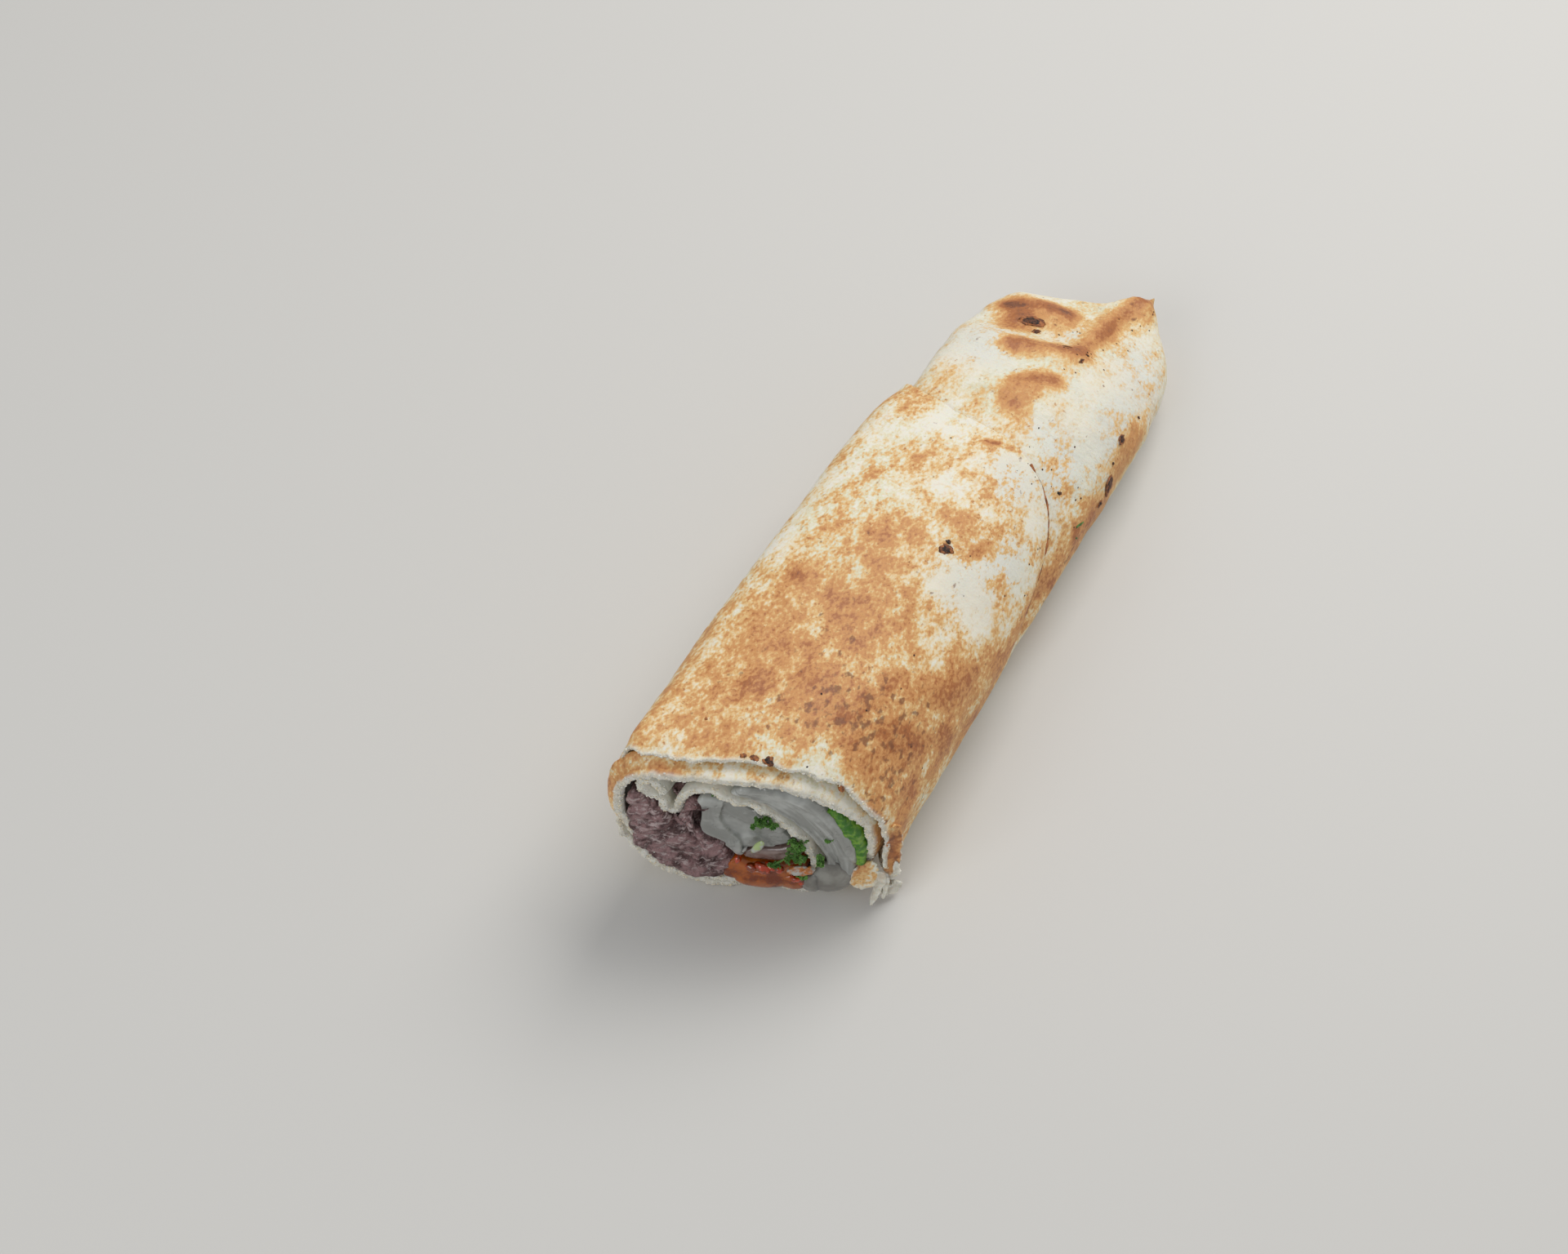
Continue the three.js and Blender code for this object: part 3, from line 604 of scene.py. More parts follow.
def sheet_piece(name, turns, rows, inner_rows, far_limit=None):
    """A closed stretch of the sheet at turn angles, as a grid of loops.

    rows and inner_rows are shares along the outer and the inner face, and far_limit is where the
    stretch ends when that is neither the tip nor the rim.
    """
    near = cut_start(turns)
    far = sheet_end(turns) if far_limit is None else np.full(len(turns), far_limit)
    far = np.maximum(far, near + 2.2)
    point_sets, facts = [], []

    def surface(shares, side):
        """One face of the sheet: side is 1 for the one that points out of the roll, else -1."""
        turn = np.repeat(turns[:, None], len(shares), axis=1)
        y = near[:, None] + row_distance(shares, near, far)
        behind, ahead = y - near[:, None], far[:, None] - y
        x, z, nx, nz = sheet_frame(turn, np.maximum(y, 0))
        full = thickness(turn, ahead, behind)
        outermost = smooth(turn, FREE_FROM, FREE_TO)
        # The torn edge thins out, most of all on the outermost turn.
        frayed = lerp(lerp(0.72, 0.4, outermost), 1, smooth(behind, 0, lerp(0.9, 3.2, outermost)))
        half = full / 2 * frayed * side
        wrinkled = 0.16 + 0.5 * (1 - smooth(turn, -60, 0))
        crumple = wrinkled * noise(np.stack([x, y * 0.6, z], -1), 3.6, 33) * (1 - smooth(y, 10, 40))
        x, z = x + nx * (half + crumple), z + nz * (half + crumple)
        point_sets.append(place(x, slanted(x, y), z))
        facts.append((turn, behind, ahead, np.full(turn.shape, side)))

    def edge(at_far):
        """Rows across the thickness at one end, a little rounded and ragged."""
        outside, inside = point_sets[0], point_sets[-1]
        a = outside[:, -1] if at_far else inside[:, -1]
        b = inside[:, 0] if at_far else outside[:, 0]
        out, ragged = (1, 0.0) if at_far else (-1, 0.22)
        made = []
        for k in range(1, EDGE_ROWS + 1):
            t = k / (EDGE_ROWS + 1)
            p = lerp(a, b, t)
            bulge = 0.16 * math.sin(math.pi * t) + ragged * noise(p, 0.5, 41 + k)
            made.append(p + np.array([0, out, 0]) * bulge[:, None])
        return np.stack(made, axis=1)

    surface(rows, 1)
    surface(inner_rows[::-1], -1)
    outside, inside = point_sets
    far_edge, cut_edge = edge(True), edge(False)
    loops = np.concatenate([outside, far_edge, inside, cut_edge], axis=1)
    columns, loop = loops.shape[:2]
    count = [outside.shape[1], EDGE_ROWS, inside.shape[1], EDGE_ROWS]
    at = np.cumsum([0] + count)

    def spread(part):
        """One of the facts for every point, edge rows taking the value beside them."""
        first, second = facts[0][part], facts[1][part]
        far_values = np.repeat(first[:, -1:], EDGE_ROWS, 1)
        cut_values = np.repeat(first[:, :1], EDGE_ROWS, 1)
        return np.concatenate([first, far_values, second, cut_values], axis=1)

    from_cut, side = spread(1), spread(3)
    turn, to_far = spread(0), spread(2)
    is_edge = np.zeros((columns, loop))
    is_edge[:, at[3]:] = 1
    rim_edge = np.zeros((columns, loop))
    rim_edge[:, at[1]:at[2]] = smooth(turns, FREE_TO, FREE_TO + 40)[:, None]
    points = loops.reshape(-1, 3)
    quads = grid_quads(columns, loop)
    caps = [cap_faces(at, 0), cap_faces(at, (columns - 1) * loop)]
    if enclosed(points, [quads]) < 0:
        quads = quads[:, ::-1]
    normals = point_normals(points, [quads])
    shown = np.where(turn < RIM_END - 360, smooth(from_cut - rim_at(turn + 360), 1, 8), 1)
    shown = np.where(turn < FREE_FROM - 360, 0.25, np.maximum(shown, 0.2))
    squeeze = (station(loops[..., 1], 2) - station(loops[..., 1], 1)) / (SECTION_RIGHT - SECTION_LEFT)
    lift = relief(loops, side) * shown * smooth(to_far, 0, 4) * np.clip(squeeze, 0, 1) ** 1.5
    points = points + normals * (lift * (1 - np.maximum(is_edge, rim_edge))).reshape(-1, 1)
    points = close_tip(points)
    points[:, 2] = np.maximum(points[:, 2], 0)
    faces = [quads] + [c for cap in caps for c in cap]
    return finish_sheet(name, points, faces, turn, from_cut, rim_edge, side, is_edge)


def close_tip(points):
    """Draws the last few millimetres of the roll together."""
    y = points[:, 1]
    middle = place(np.full(len(y), MIDDLE), y, np.full(len(y), SECTION_HEIGHT / 2))
    share = (0.94 * smooth(y, ROLL_LENGTH - 4, ROLL_LENGTH + 0.6))[:, None]
    return lerp(points, middle, share)


def row_distance(shares, near, far):
    """Distances behind the cut edge for shares of the way, which near the cut are kept in millimetres."""
    span = (far - near)[:, None]
    shares = np.asarray(shares, float)[None, :]
    fixed = shares * ROLL_LENGTH
    keep = (1 - smooth(fixed, CUT_ROWS[-1], SHORTEST_FULL)) * (span > SHORTEST_FULL)
    return np.minimum(lerp(shares * span, fixed, keep), span)


def row_shares(total, step):
    """Shares of the roll's length: step millimetres apart, closer behind the cut and at the tip."""
    last = ROLL_LENGTH - TIP_ROWS
    coarse = np.linspace(CUT_ROWS[-1], last, int(total / step) + 1)[1:]
    at_tip = np.linspace(last, ROLL_LENGTH, TIP_ROWS + 1)[1:]
    return np.concatenate([CUT_ROWS, coarse, at_tip]) / ROLL_LENGTH


def cap_faces(at, first):
    """Closes one end of the loops: a zip of triangles between the outer and the inner rows."""
    outer = list(range(at[0], at[1]))
    inner = list(range(at[2], at[3]))[::-1]
    faces = []
    i = j = 0
    while i < len(outer) - 1 or j < len(inner) - 1:
        inner_done = j == len(inner) - 1
        outer_next = i < len(outer) - 1 and (i + 1) / len(outer) <= (j + 1) / len(inner)
        if inner_done or outer_next:
            faces.append((outer[i], outer[i + 1], inner[j]))
            i += 1
        else:
            faces.append((outer[i], inner[j + 1], inner[j]))
            j += 1
    triangles = np.array(faces) + first
    far = [outer[-1]] + list(range(at[1], at[2])) + [inner[-1]]
    cut = [inner[0]] + list(range(at[3], at[4])) + [outer[0]]
    out = [triangles if first else triangles[:, ::-1]]
    for ring in (far, cut):
        ring = np.array([ring]) + first
        out.append(ring if first else ring[:, ::-1])
    return out


def relief(points, side):
    """Blisters, soft dents and grain of the bread's faces, in millimetres."""
    blister = np.clip(rough(points, 6.5, 2, 51) - 0.35, 0, 1)
    dents = 0.16 * noise(points, 11, 52) + 0.09 * noise(points, 4.2, 53)
    grain = 0.05 * noise(points, 1.5, 54) + 0.035 * noise(points, 0.9, 55)
    x, y = points[..., 0], points[..., 1]
    folds = np.stack([x * 0.5 + y * 0.3, y - 0.35 * x, points[..., 2] * 0.6], -1)
    neck = smooth(y, 82, 100)
    folded = 0.26 * noise(folds, 5, 57) + 0.12 * noise(folds, 2.2, 58)
    outside = 0.42 * blister + dents + grain + neck * folded
    inside = 0.05 * noise(points, 3, 56) + 0.03 * noise(points, 1.2, 57)
    return np.where(side > 0, outside, inside)


def finish_sheet(name, points, faces, turn, from_cut, rim_edge, side, is_edge):
    """Gives the sheet what its material reads: toast, freckles, torn edge and inner face."""
    flat = points.reshape(-1, 3)
    turn, from_cut, side, is_edge = (v.reshape(-1) for v in (turn, from_cut, side, is_edge))
    hidden = (turn < RIM_END - 360) & (from_cut < rim_at(turn + 360) - 1)
    past_rim = from_cut - rim_at(turn + 360)
    # toast also carries painted shade on the lower right flank, from the zones table.
    toast = zone(flat, TOAST_AND_FLANK_SHADE) + stroke(flat)
    # Painted shade: a brown line on the bread just beyond the free rim, for the shadowed gap under the
    # rim's edge.
    gap_shade = (turn < RIM_END - 360) * (turn > 90) * np.exp(-(((past_rim - 0.3) / 0.6) ** 2))
    toast = toast + (0.5 + 0.4 * noise(flat, 2.4, 64)) * gap_shade
    # Under the outermost turn the sheet is pale, but for bands that show at the cut.
    band = 0.5 * smooth(turn, 60, 90) * (1 - smooth(turn, 148, 170)) + 0.75 * smooth(turn, 236, 262)
    folded = 0.7 * np.exp(-(((turn - SHOULDER_CREASE_AT) / 1.6) ** 2)) * smooth(from_cut, 1, 2.5)
    toast = np.where(hidden, np.maximum(band + folded, 0.15), toast) * (side > 0)
    toast = np.maximum(toast, (1.7 + 0.7 * noise(flat, 3.1, 65)) * rim_edge.reshape(-1))
    freckle = np.where(hidden, 0.0, zone(flat, FRECKLED)) * (side > 0)
    inner = turn < 30
    torn = np.maximum(is_edge, (1 - smooth(from_cut, 0.1, 0.75)) * np.where(side > 0, 0.75, 1))
    toast, freckle = np.where(inner, 0, toast), np.where(inner, 0, freckle)
    even = smooth(flat[:, 1], 84, 100)
    inner_face = np.maximum((side < 0).astype(float), 0.85 * inner)
    pepper = np.where(hidden | inner | (side < 0), 0, zone(flat, PEPPERED))
    attributes = {
        "toast": toast, "freckle": freckle, "torn": torn, "inside": inner_face, "even": even,
        "pepper": pepper, "chalk": np.where(hidden, 0, zone(flat, CHALK_AND_SHEEN)),
    }
    return make_piece(name, flat, faces, attributes)


def tip_core(name):
    """The folded end inside the last turn of bread, closed at the very tip."""
    steps = 180
    rings = np.linspace(TIP_SOLID_FROM, ROLL_LENGTH, 40)
    angles = np.linspace(0, 360, steps, endpoint=False)
    beside_lap = smooth(angles, 38, 48) * (1 - smooth(angles, 86, 98))
    columns = []
    for y in rings:
        depth = CORE_DEPTH + 2.2 * (1 - smooth(y, TIP_SOLID_FROM, TIP_SOLID_FROM + 7))
        x, z = turn_point(angles, depth - 1.05 * beside_lap * smooth(y, 119, 128))
        columns.append(place(x, np.full(steps, y), z))
    points = close_tip(np.stack(columns).reshape(-1, 3))
    quads = grid_quads(len(rings), steps)
    first = np.arange(steps)[None, :]
    last = first + (len(rings) - 1) * steps
    faces = [quads, first[:, ::-1], last]
    zero = np.zeros(len(points))
    attributes = {
        "toast": zone(points, TOAST_AND_FLANK_SHADE) + stroke(points), "freckle": zone(points, FRECKLED),
        "torn": zero, "inside": zero, "even": zero + 1, "chalk": zone(points, CHALK_AND_SHEEN),
    }
    return make_piece(name, points, faces, attributes)


# ---------------- fillings
# Rows of points behind the front of a filling, in mm.
BACK_ROWS = [0.3, 0.7, 1.2, 1.8, 2.6, 3.6, 5, 7, 10, 15, 22, 32, 46, 62, 80, 97]


def filling_mesh(name, side_a, side_b, front, edge_round, steps, across, bulge, relief_of):
    """A filling that runs back through the roll from the outline between two sides at the cut.

    Both sides are smooth lines from one end of the outline to the other. The front is rounded off to
    them, and relief_of gives the height of its surface detail at points in the roll's frame.
    """
    a, b = spline(side_a, steps), spline(side_b, steps)
    v = np.linspace(0, 1, across)[None, :, None]
    sheet = lerp(a[:, None, :], b[:, None, :], v)
    width = np.linalg.norm(b - a, axis=1)[:, None]
    to_side = np.minimum(v[..., 0], 1 - v[..., 0]) * width
    length = np.concatenate([[0], np.cumsum(np.linalg.norm(np.diff((a + b) / 2, axis=0), axis=1))])
    to_end = np.minimum(length, length[-1] - length)[:, None]
    inward = np.clip(np.minimum(to_side, to_end) / edge_round, 0, 1)
    back_off = edge_round * (1 - np.sqrt(np.maximum(1 - (1 - inward) ** 2, 0)))
    x, z = sheet[..., 0], sheet[..., 1]
    front_points = place(x, cut_at(x) - front + back_off, z)
    n = steps * across
    index = np.arange(n).reshape(steps, across)
    ring = np.concatenate([index[:-1, 0], index[-1, :-1], index[:0:-1, -1], index[0, :0:-1]])
    centre = sheet.reshape(-1, 2).mean(0)
    ring_xz = sheet.reshape(-1, 2)[ring]
    points = [front_points.reshape(-1, 3)]
    start = cut_at(ring_xz[:, 0]) - front + edge_round
    for depth in BACK_ROWS + [None]:
        share = 1 if depth is None else depth / FILLING_TO
        y = start + (FILLING_TO - start) * share
        swell = 1 - bulge * math.sin(share * 9) ** 2
        at = centre + (ring_xz - centre) * (swell if depth is not None else 0.85)
        points.append(place(at[:, 0], y, at[:, 1]))
    points = np.concatenate(points)
    faces = [face_rows(index[:-1, 1:], index[1:, 1:], index[1:, :-1], index[:-1, :-1])]
    count = len(ring)
    previous = ring
    for k in range(len(BACK_ROWS) + 1):
        current = n + k * count + np.arange(count)
        faces.append(face_rows(previous, np.roll(previous, -1), np.roll(current, -1), current))
        previous = current
    centre_point = points[previous].mean(0, keepdims=True)
    points = np.concatenate([points, centre_point])
    faces.append(face_rows(previous, np.roll(previous, -1), np.full(count, len(points) - 1)))
    if enclosed(points, faces) < 0:
        faces = [face[:, ::-1] for face in faces]
    normals = point_normals(points, faces)
    height = relief_of(points)
    near_cut = 1 - smooth(points[:, 1] - cut_at(points[:, 0]), 6, 25)
    points = points + normals * (height * near_cut)[:, None]
    points[:, 2] = np.maximum(points[:, 2], 0.05)
    attributes = {}
    for key, values in (("across", v[..., 0] * width), ("along", length[:, None] + 0 * v[..., 0])):
        rings = np.tile(values.ravel()[ring], len(BACK_ROWS) + 1)
        attributes[key] = np.concatenate([values.ravel(), rings, [0]]) * MM
    return make_piece(name, points, faces, attributes)


def line_distance(points, line):
    """Signed distance in the section from points to a smooth line, above 0 on its left."""
    path = spline(line, 48)
    offset = np.stack([points[:, 0], points[:, 2]], -1)[:, None, :] - path[None]
    nearest = np.argmin((offset ** 2).sum(2), axis=1)
    along = np.gradient(path, axis=0)[nearest]
    gap = offset[np.arange(len(points)), nearest]
    return np.sign(along[:, 0] * gap[:, 1] - along[:, 1] * gap[:, 0]) * np.linalg.norm(gap, axis=1)


def groove(points, line, width, depth):
    """Height of a crease along a line."""
    return -depth * np.exp(-((line_distance(points, line) / width) ** 2))


def ledge(points, line, width, height):
    """Height of a step up on the left of a line."""
    return height * smooth(line_distance(points, line), -width, width)


def mound(points, x, z, radius, height):
    """Height of a round rise, or a hollow where height is below 0."""
    return height * np.exp(-((points[:, 0] - x) ** 2 + (points[:, 2] - z) ** 2) / radius ** 2)


# Outlines of the fillings at the cut, as two lines that run from one end to the other: across and up.
MEAT_OUTER = [
    (-19.9, 28.4), (-20.3, 24.0), (-20.0, 18.6), (-18.8, 13.2), (-16.6, 8.6), (-13.0, 5.0), (-9.2, 3.8),
    (-6.2, 4.1), (-4.8, 6.4), (-4.4, 9.6),
]
MEAT_INNER = [
    (-19.2, 28.6), (-17.3, 26.0), (-15.6, 23.4), (-14.2, 21.8), (-12.8, 22.0), (-11.7, 24.6),
    (-10.7, 28.0), (-10.1, 25.0), (-10.1, 20.6), (-8.8, 17.2), (-6.2, 15.0), (-4.7, 12.0),
]
# Half-width and depth of each crease, and points along it.
MEAT_CREASES = (
    (0.5, 1.9, [(-12.9, 22.2), (-12.8, 20.6), (-12.0, 19.6)]),
    (0.5, 1.7, [(-10.8, 20.0), (-10.3, 18.4), (-10.1, 16.6)]),
    (0.45, 0.9, [(-9.6, 15.6), (-8.6, 12.8), (-8.3, 9.8), (-6.6, 7.6)]),
    (0.4, 0.6, [(-17.6, 17.4), (-14.6, 16.6), (-11.8, 17.0)]),
    (0.45, 0.7, [(-15.4, 10.4), (-12.2, 10.8), (-10.2, 9.0), (-9.4, 6.0)]),
    (0.8, 1.1, [(-10.0, 28.0), (-9.9, 23.6), (-9.8, 19.6)]),
)


def meat_relief(points):
    """Grain, creases and swellings of the meat, in millimetres."""
    layered = points * np.array([1, 1, 2.4])
    height = 0.65 * rough(points, 4.2, 2, 61) + 0.34 * rough(layered, 2.0, 3, 62)
    height = height - 0.5 * np.clip(0.22 - np.abs(noise(layered, 2.6, 63)), 0, 1) / 0.22
    for width, depth, line in MEAT_CREASES:
        height = height + groove(points, line, width, depth)
    height = height + mound(points, -10.4, 28.2, 2.0, -2.4) + mound(points, -7.2, 9.6, 3.4, 0.9)
    return height + mound(points, -17.0, 20.5, 3.0, 0.5)


CHUNK_LOW = [
    (-9.4, 28.4), (-8.9, 26.0), (-8.9, 20.4), (-8.2, 18.1), (-5.2, 15.6), (-2.9, 12.7), (-1.9, 14.2),
    (0.6, 14.8), (3.0, 15.0), (4.8, 15.8),
]
CHUNK_HIGH = [
    (-8.8, 29.2), (-6.4, 29.2), (-3.2, 27.7), (-0.4, 25.5), (1.9, 23.2), (3.9, 20.6), (5.2, 18.4),
    (5.4, 16.8),
]
# Half-width and rise of each step between layers, and points along it.
CHUNK_STEPS = (
    (0.22, 0.8, [(-2.2, 14.6), (-2.6, 17.2), (-4.4, 19.8), (-5.6, 23.2), (-5.3, 27.4)]),
    (0.22, -0.6, [(4.8, 20.6), (2.6, 20.2), (0.9, 21.8), (-0.4, 25.6)]),
    (0.2, -0.35, [(-2.6, 17.4), (-0.8, 18.6), (1.0, 18.0), (2.6, 15.2)]),
)


SLIVER_LOW = [(-2.4, 11.8), (-0.4, 10.8), (2.6, 10.8), (5.0, 11.6), (6.8, 13.0)]
SLIVER_HIGH = [(-2.2, 13.4), (-0.6, 14.2), (2.0, 14.4), (4.6, 15.2), (6.6, 14.4)]
TOMATO_LOW = [(-4.8, 7.8), (-4.4, 5.4), (-1.0, 5.0), (3.4, 5.8), (6.4, 7.3), (7.6, 8.8)]
TOMATO_HIGH = [(-4.4, 9.2), (-3.6, 10.8), (-0.8, 10.2), (3.0, 10.3), (6.0, 10.6), (7.5, 9.6)]
STRIP_OUTER = [
    (-3.0, 33.4), (1.6, 33.6), (6.6, 31.2), (10.6, 25.8), (13.5, 19.0), (14.9, 12.8), (15.0, 8.0),
    (13.6, 5.2),
]
STRIP_INNER = [
    (-4.4, 31.9), (-1.0, 30.0), (2.4, 27.2), (5.6, 23.4), (8.2, 19.2), (10.2, 14.4), (10.5, 10.0),
    (10.4, 6.4),
]
STRIP_STEPS = (
    (0.2, 0.5, [(-1.8, 32.6), (3.6, 30.6), (8.2, 25.0), (11.4, 18.2), (12.9, 12.0)]),
    (0.2, 0.5, [(2.0, 33.0), (7.2, 29.6), (11.0, 23.6), (13.4, 16.8)]),
    (0.2, -0.4, [(0.6, 29.6), (5.2, 25.6), (8.8, 20.4), (10.9, 15.0)]),
)
LEAF_OUTER = [(10.6, 28.6), (12.9, 25.6), (15.2, 20.8), (16.3, 15.8), (16.4, 12.0)]
LEAF_INNER = [(9.8, 27.9), (11.4, 24.7), (13.2, 20.1), (14.7, 15.5), (15.3, 11.9)]


def layered_relief(swells, steps):
    """A function that gives the height of swells, and of steps between layers, at points.

    Each swell has its height, its size and its seed, and each step its half-width, rise and line.
    """
    def relief_of(points):
        height = 0
        for high, size, seed in swells:
            height = height + high * noise(points, size, seed)
        for width, rise, line in steps:
            height = height + ledge(points, line, width, rise)
        return height
    return relief_of


def slick_relief(height, size, seed):
    """The relief of a wet, smooth filling."""
    return layered_relief(((height, size, seed), (0.3 * height, size / 3, seed + 1)), ())


# ---------------- small pieces
def at_cut(x, z, forward):
    """A place in front of the slanting cut."""
    return place(np.float64(x), cut_at(x) - forward, np.float64(z))


def all_at_cut(*spots):
    """Places in front of the cut, each given by how far across, up and forward it is."""
    return [at_cut(*spot) for spot in spots]


def blob(centre, axes, seed, roughness=0.2, rings=12, segments=18, lump=0.9):
    """Points and faces of a lumpy round form with three half-size vectors in mm."""
    polar = np.linspace(0, np.pi, rings + 1)[1:-1]
    turn = np.linspace(0, 2 * np.pi, segments, endpoint=False)
    across, along = (np.outer(np.sin(polar), part(turn)) for part in (np.cos, np.sin))
    unit = np.stack([across, along, np.cos(polar)[:, None] + 0 * turn], -1)
    unit = np.concatenate([unit.reshape(-1, 3), [(0, 0, 1), (0, 0, -1)]])
    swell = 1 + roughness * rough(unit + seed * 7.3, lump, 3, seed)
    points = np.asarray(centre) + (unit * swell[:, None]) @ np.asarray(axes, float)
    top, bottom = len(points) - 2, len(points) - 1
    index = np.arange(top).reshape(rings - 1, segments)
    nxt = np.roll(index, -1, axis=1)
    quads = face_rows(index[:-1], index[1:], nxt[1:], nxt[:-1])
    first = face_rows(np.full(segments, top), index[0], nxt[0])
    last = face_rows(np.full(segments, bottom), nxt[-1], index[-1])
    return points, [quads, np.concatenate([first, last])]


def joined(parts):
    """Puts several forms of points and faces into one."""
    points, faces, start = [], [], 0
    for part_points, part_faces in parts:
        if enclosed(part_points, part_faces) < 0:
            part_faces = [face[:, ::-1] for face in part_faces]
        points.append(part_points)
        faces += [face + start for face in part_faces]
        start += len(part_points)
    return np.concatenate(points), faces


SCRAP_CURL = 0.3


def scrap(places, thickness, seed, ragged, toast, toast_at, toast_reach):
    """Points, faces, edge marks and toast of a torn scrap of bread between four places.

    toast_at is the middle of the toasted part, as shares across and down the scrap.
    """
    rows, columns = 40, 30
    u = np.linspace(0, 1, columns)[None, :, None]
    v = np.linspace(0, 1, rows)[:, None, None]
    a, b, c, d = (np.array(corner, float) for corner in places)
    sheet = lerp(lerp(a, b, u), lerp(d, c, u), v)
    out = np.cross(b - a, d - a)
    out = out / np.linalg.norm(out)
    edge_share = np.minimum(np.minimum(u, 1 - u), np.minimum(v, 1 - v))[..., 0]
    near_edge = 1 - smooth(edge_share, 0, 0.16)
    rounded = 1 - 0.28 * (2 * u - 1) ** 2 * (2 * v - 1) ** 2
    middle = sheet.mean((0, 1))
    sheet = middle + (sheet - middle) * rounded
    wander = np.stack([rough(sheet, 0.8, 3, seed + k) for k in range(3)], -1)
    sheet = sheet + ragged * wander * near_edge[..., None]
    away = ((u - toast_at[0]) ** 2 + (v - toast_at[1]) ** 2)[..., 0] / toast_reach ** 2
    toasted = toast * np.exp(-away) * (1 + 0.4 * noise(sheet, 1.3, seed + 8))
    arch = 1.2 * np.sin(np.pi * v[..., 0]) * np.sin(np.pi * u[..., 0])
    bowed = SCRAP_CURL * (noise(sheet, 3.0, seed + 5) + arch)
    sheet = sheet + out * bowed[..., None]
    half = thickness / 2 * np.sqrt(1 - 0.85 * near_edge ** 2) * (1 + 0.2 * noise(sheet, 1.2, seed + 6))
    front, back = (sheet + side * out * half[..., None] for side in (1, -1))
    points = np.concatenate([front.reshape(-1, 3), back.reshape(-1, 3)])
    points[:, 2] = np.maximum(points[:, 2], 0.02)
    index = np.arange(rows * columns).reshape(rows, columns)
    quads = face_rows(index[:-1, :-1], index[:-1, 1:], index[1:, 1:], index[1:, :-1])
    ring = np.concatenate([index[0, :-1], index[:-1, -1], index[-1, :0:-1], index[:0:-1, 0]])
    nxt, under = np.roll(ring, -1), rows * columns
    band = face_rows(ring, ring + under, nxt + under, nxt)
    faces = [quads, quads[:, ::-1] + under, band]
    torn = near_edge ** 4 * smooth(v[..., 0], 0, 0.2)
    return points, faces, np.tile(torn.ravel(), 2), np.tile(toasted.ravel(), 2)


def surface_frame(piece, spot):
    """The nearest place on a piece to a spot, two directions along its surface and one out of it."""
    found, where, out, face = piece.closest_point_on_mesh(Vector(in_row(spot)))
    if not found:
        raise ValueError("no surface near %s" % (spot,))
    out = np.array(out)
    side = np.cross((0, 1, 0), out)
    side = side / np.linalg.norm(side)
    return np.array(where) / MM - ROLL_SHIFT, side, np.cross(out, side), out


def flake(piece, spot, length, width, height, degrees, seed):
    """A thin flake that lies on a piece, turned by degrees from across to along the roll."""
    where, side, along, out = surface_frame(piece, spot)
    turn = math.radians(degrees)
    long_way = math.cos(turn) * side + math.sin(turn) * along
    short_way = math.cos(turn) * along - math.sin(turn) * side
    axes = (long_way * length / 2, short_way * width / 2, out * height)
    return blob(where + 0.04 * out, axes, seed, 0.5, 10, 26, 0.6)


def rim_shade_cord(piece, turns, seed):
    """A thin uneven dark brown cord along the free rim: painted shade of the narrow gap under the rim's
    edge.
    """
    y = sheet_end(turns) - 0.1
    x, z, nx, nz = sheet_frame(turns, y)
    spots = place(x + nx * 0.4, slanted(x, y), z + nz * 0.4)
    frames = [surface_frame(piece, spot) for spot in spots]
    middle = np.array([where for where, side, along, out in frames])
    out = np.array([out for where, side, along, out in frames])
    line = np.gradient(middle, axis=0)
    line = line / np.linalg.norm(line, axis=1, keepdims=True)
    across = np.cross(line, out)
    length = np.cumsum(np.linalg.norm(np.gradient(middle, axis=0), axis=1))
    wide = 0.17 + 0.2 * along_line(length, 2.6, seed) + 0.1 * along_line(length, 0.7, seed + 1)
    wide = np.clip(wide, 0.03, 0.4)[:, None, None]
    sides = 6
    ring = np.linspace(0, 2 * np.pi, sides, endpoint=False)[None, :, None]
    flat = across[:, None] * np.cos(ring) * wide + out[:, None] * np.sin(ring) * 0.5 * wide
    points = (middle[:, None] + flat).reshape(-1, 3)
    first = np.arange(sides)[None, :]
    return points, [grid_quads(len(turns), sides), first[:, ::-1], first + (len(turns) - 1) * sides]


# Turn angles that the painted shade cord along the free rim runs between.
SHADE_CORD_FROM, SHADE_CORD_TO = 570, 652
# A burnt spot longer than the smallest one ringed lies on a brown ring that is larger by a share.
SMALLEST_RINGED, RING_SHARE = 1, 1.5

# Burnt spots on the bread: place, length, width in mm and turn in degrees.
BURNT = (
    ((-10.7, 121.4, 20.7), 3.0, 1.5, 20), ((-8.6, 119.7, 21.9), 1.1, 0.8, 60),
    ((-7.1, 126.8, 19.2), 1.4, 0.8, 20), ((17.4, 99.7, 14.0), 3.8, 1.9, 80),
    ((17.5, 94.9, 13.6), 1.3, 0.8, 60), ((15.4, 107.5, 17.6), 1.8, 0.9, 80),
    ((4.0, 135.1, 13.9), 2.8, 1.1, -30), ((1.7, 137.8, 13.5), 2.4, 0.9, 10),
    ((5.5, 140.1, 12.2), 1.6, 0.9, 50), ((-1.1, 117.0, 23.8), 1.2, 0.7, 10),
    ((-2.2, 112.1, 25.7), 1.0, 0.45, 80), ((1.1, 113.6, 24.8), 0.9, 0.45, 70),
    ((2.5, 114.9, 24.1), 1.1, 0.45, 80), ((2.6, 118.3, 22.8), 0.8, 0.5, 0),
    ((12.4, 86.7, 22.7), 0.9, 0.6, 30), ((3.8, 57.5, 33.9), 1.6, 1.3, 40),
    ((3.4, 59.2, 33.8), 0.9, 0.8, 0), ((0.1, 1.5, 38.3), 1.3, 1.1, 0),
    ((15.4, 115.2, 15.6), 0.6, 0.45, 0), ((16.2, 102.4, 16.5), 0.7, 0.5, 70),
    ((-13.0, 109.4, 26.4), 0.6, 0.45, 0),
)
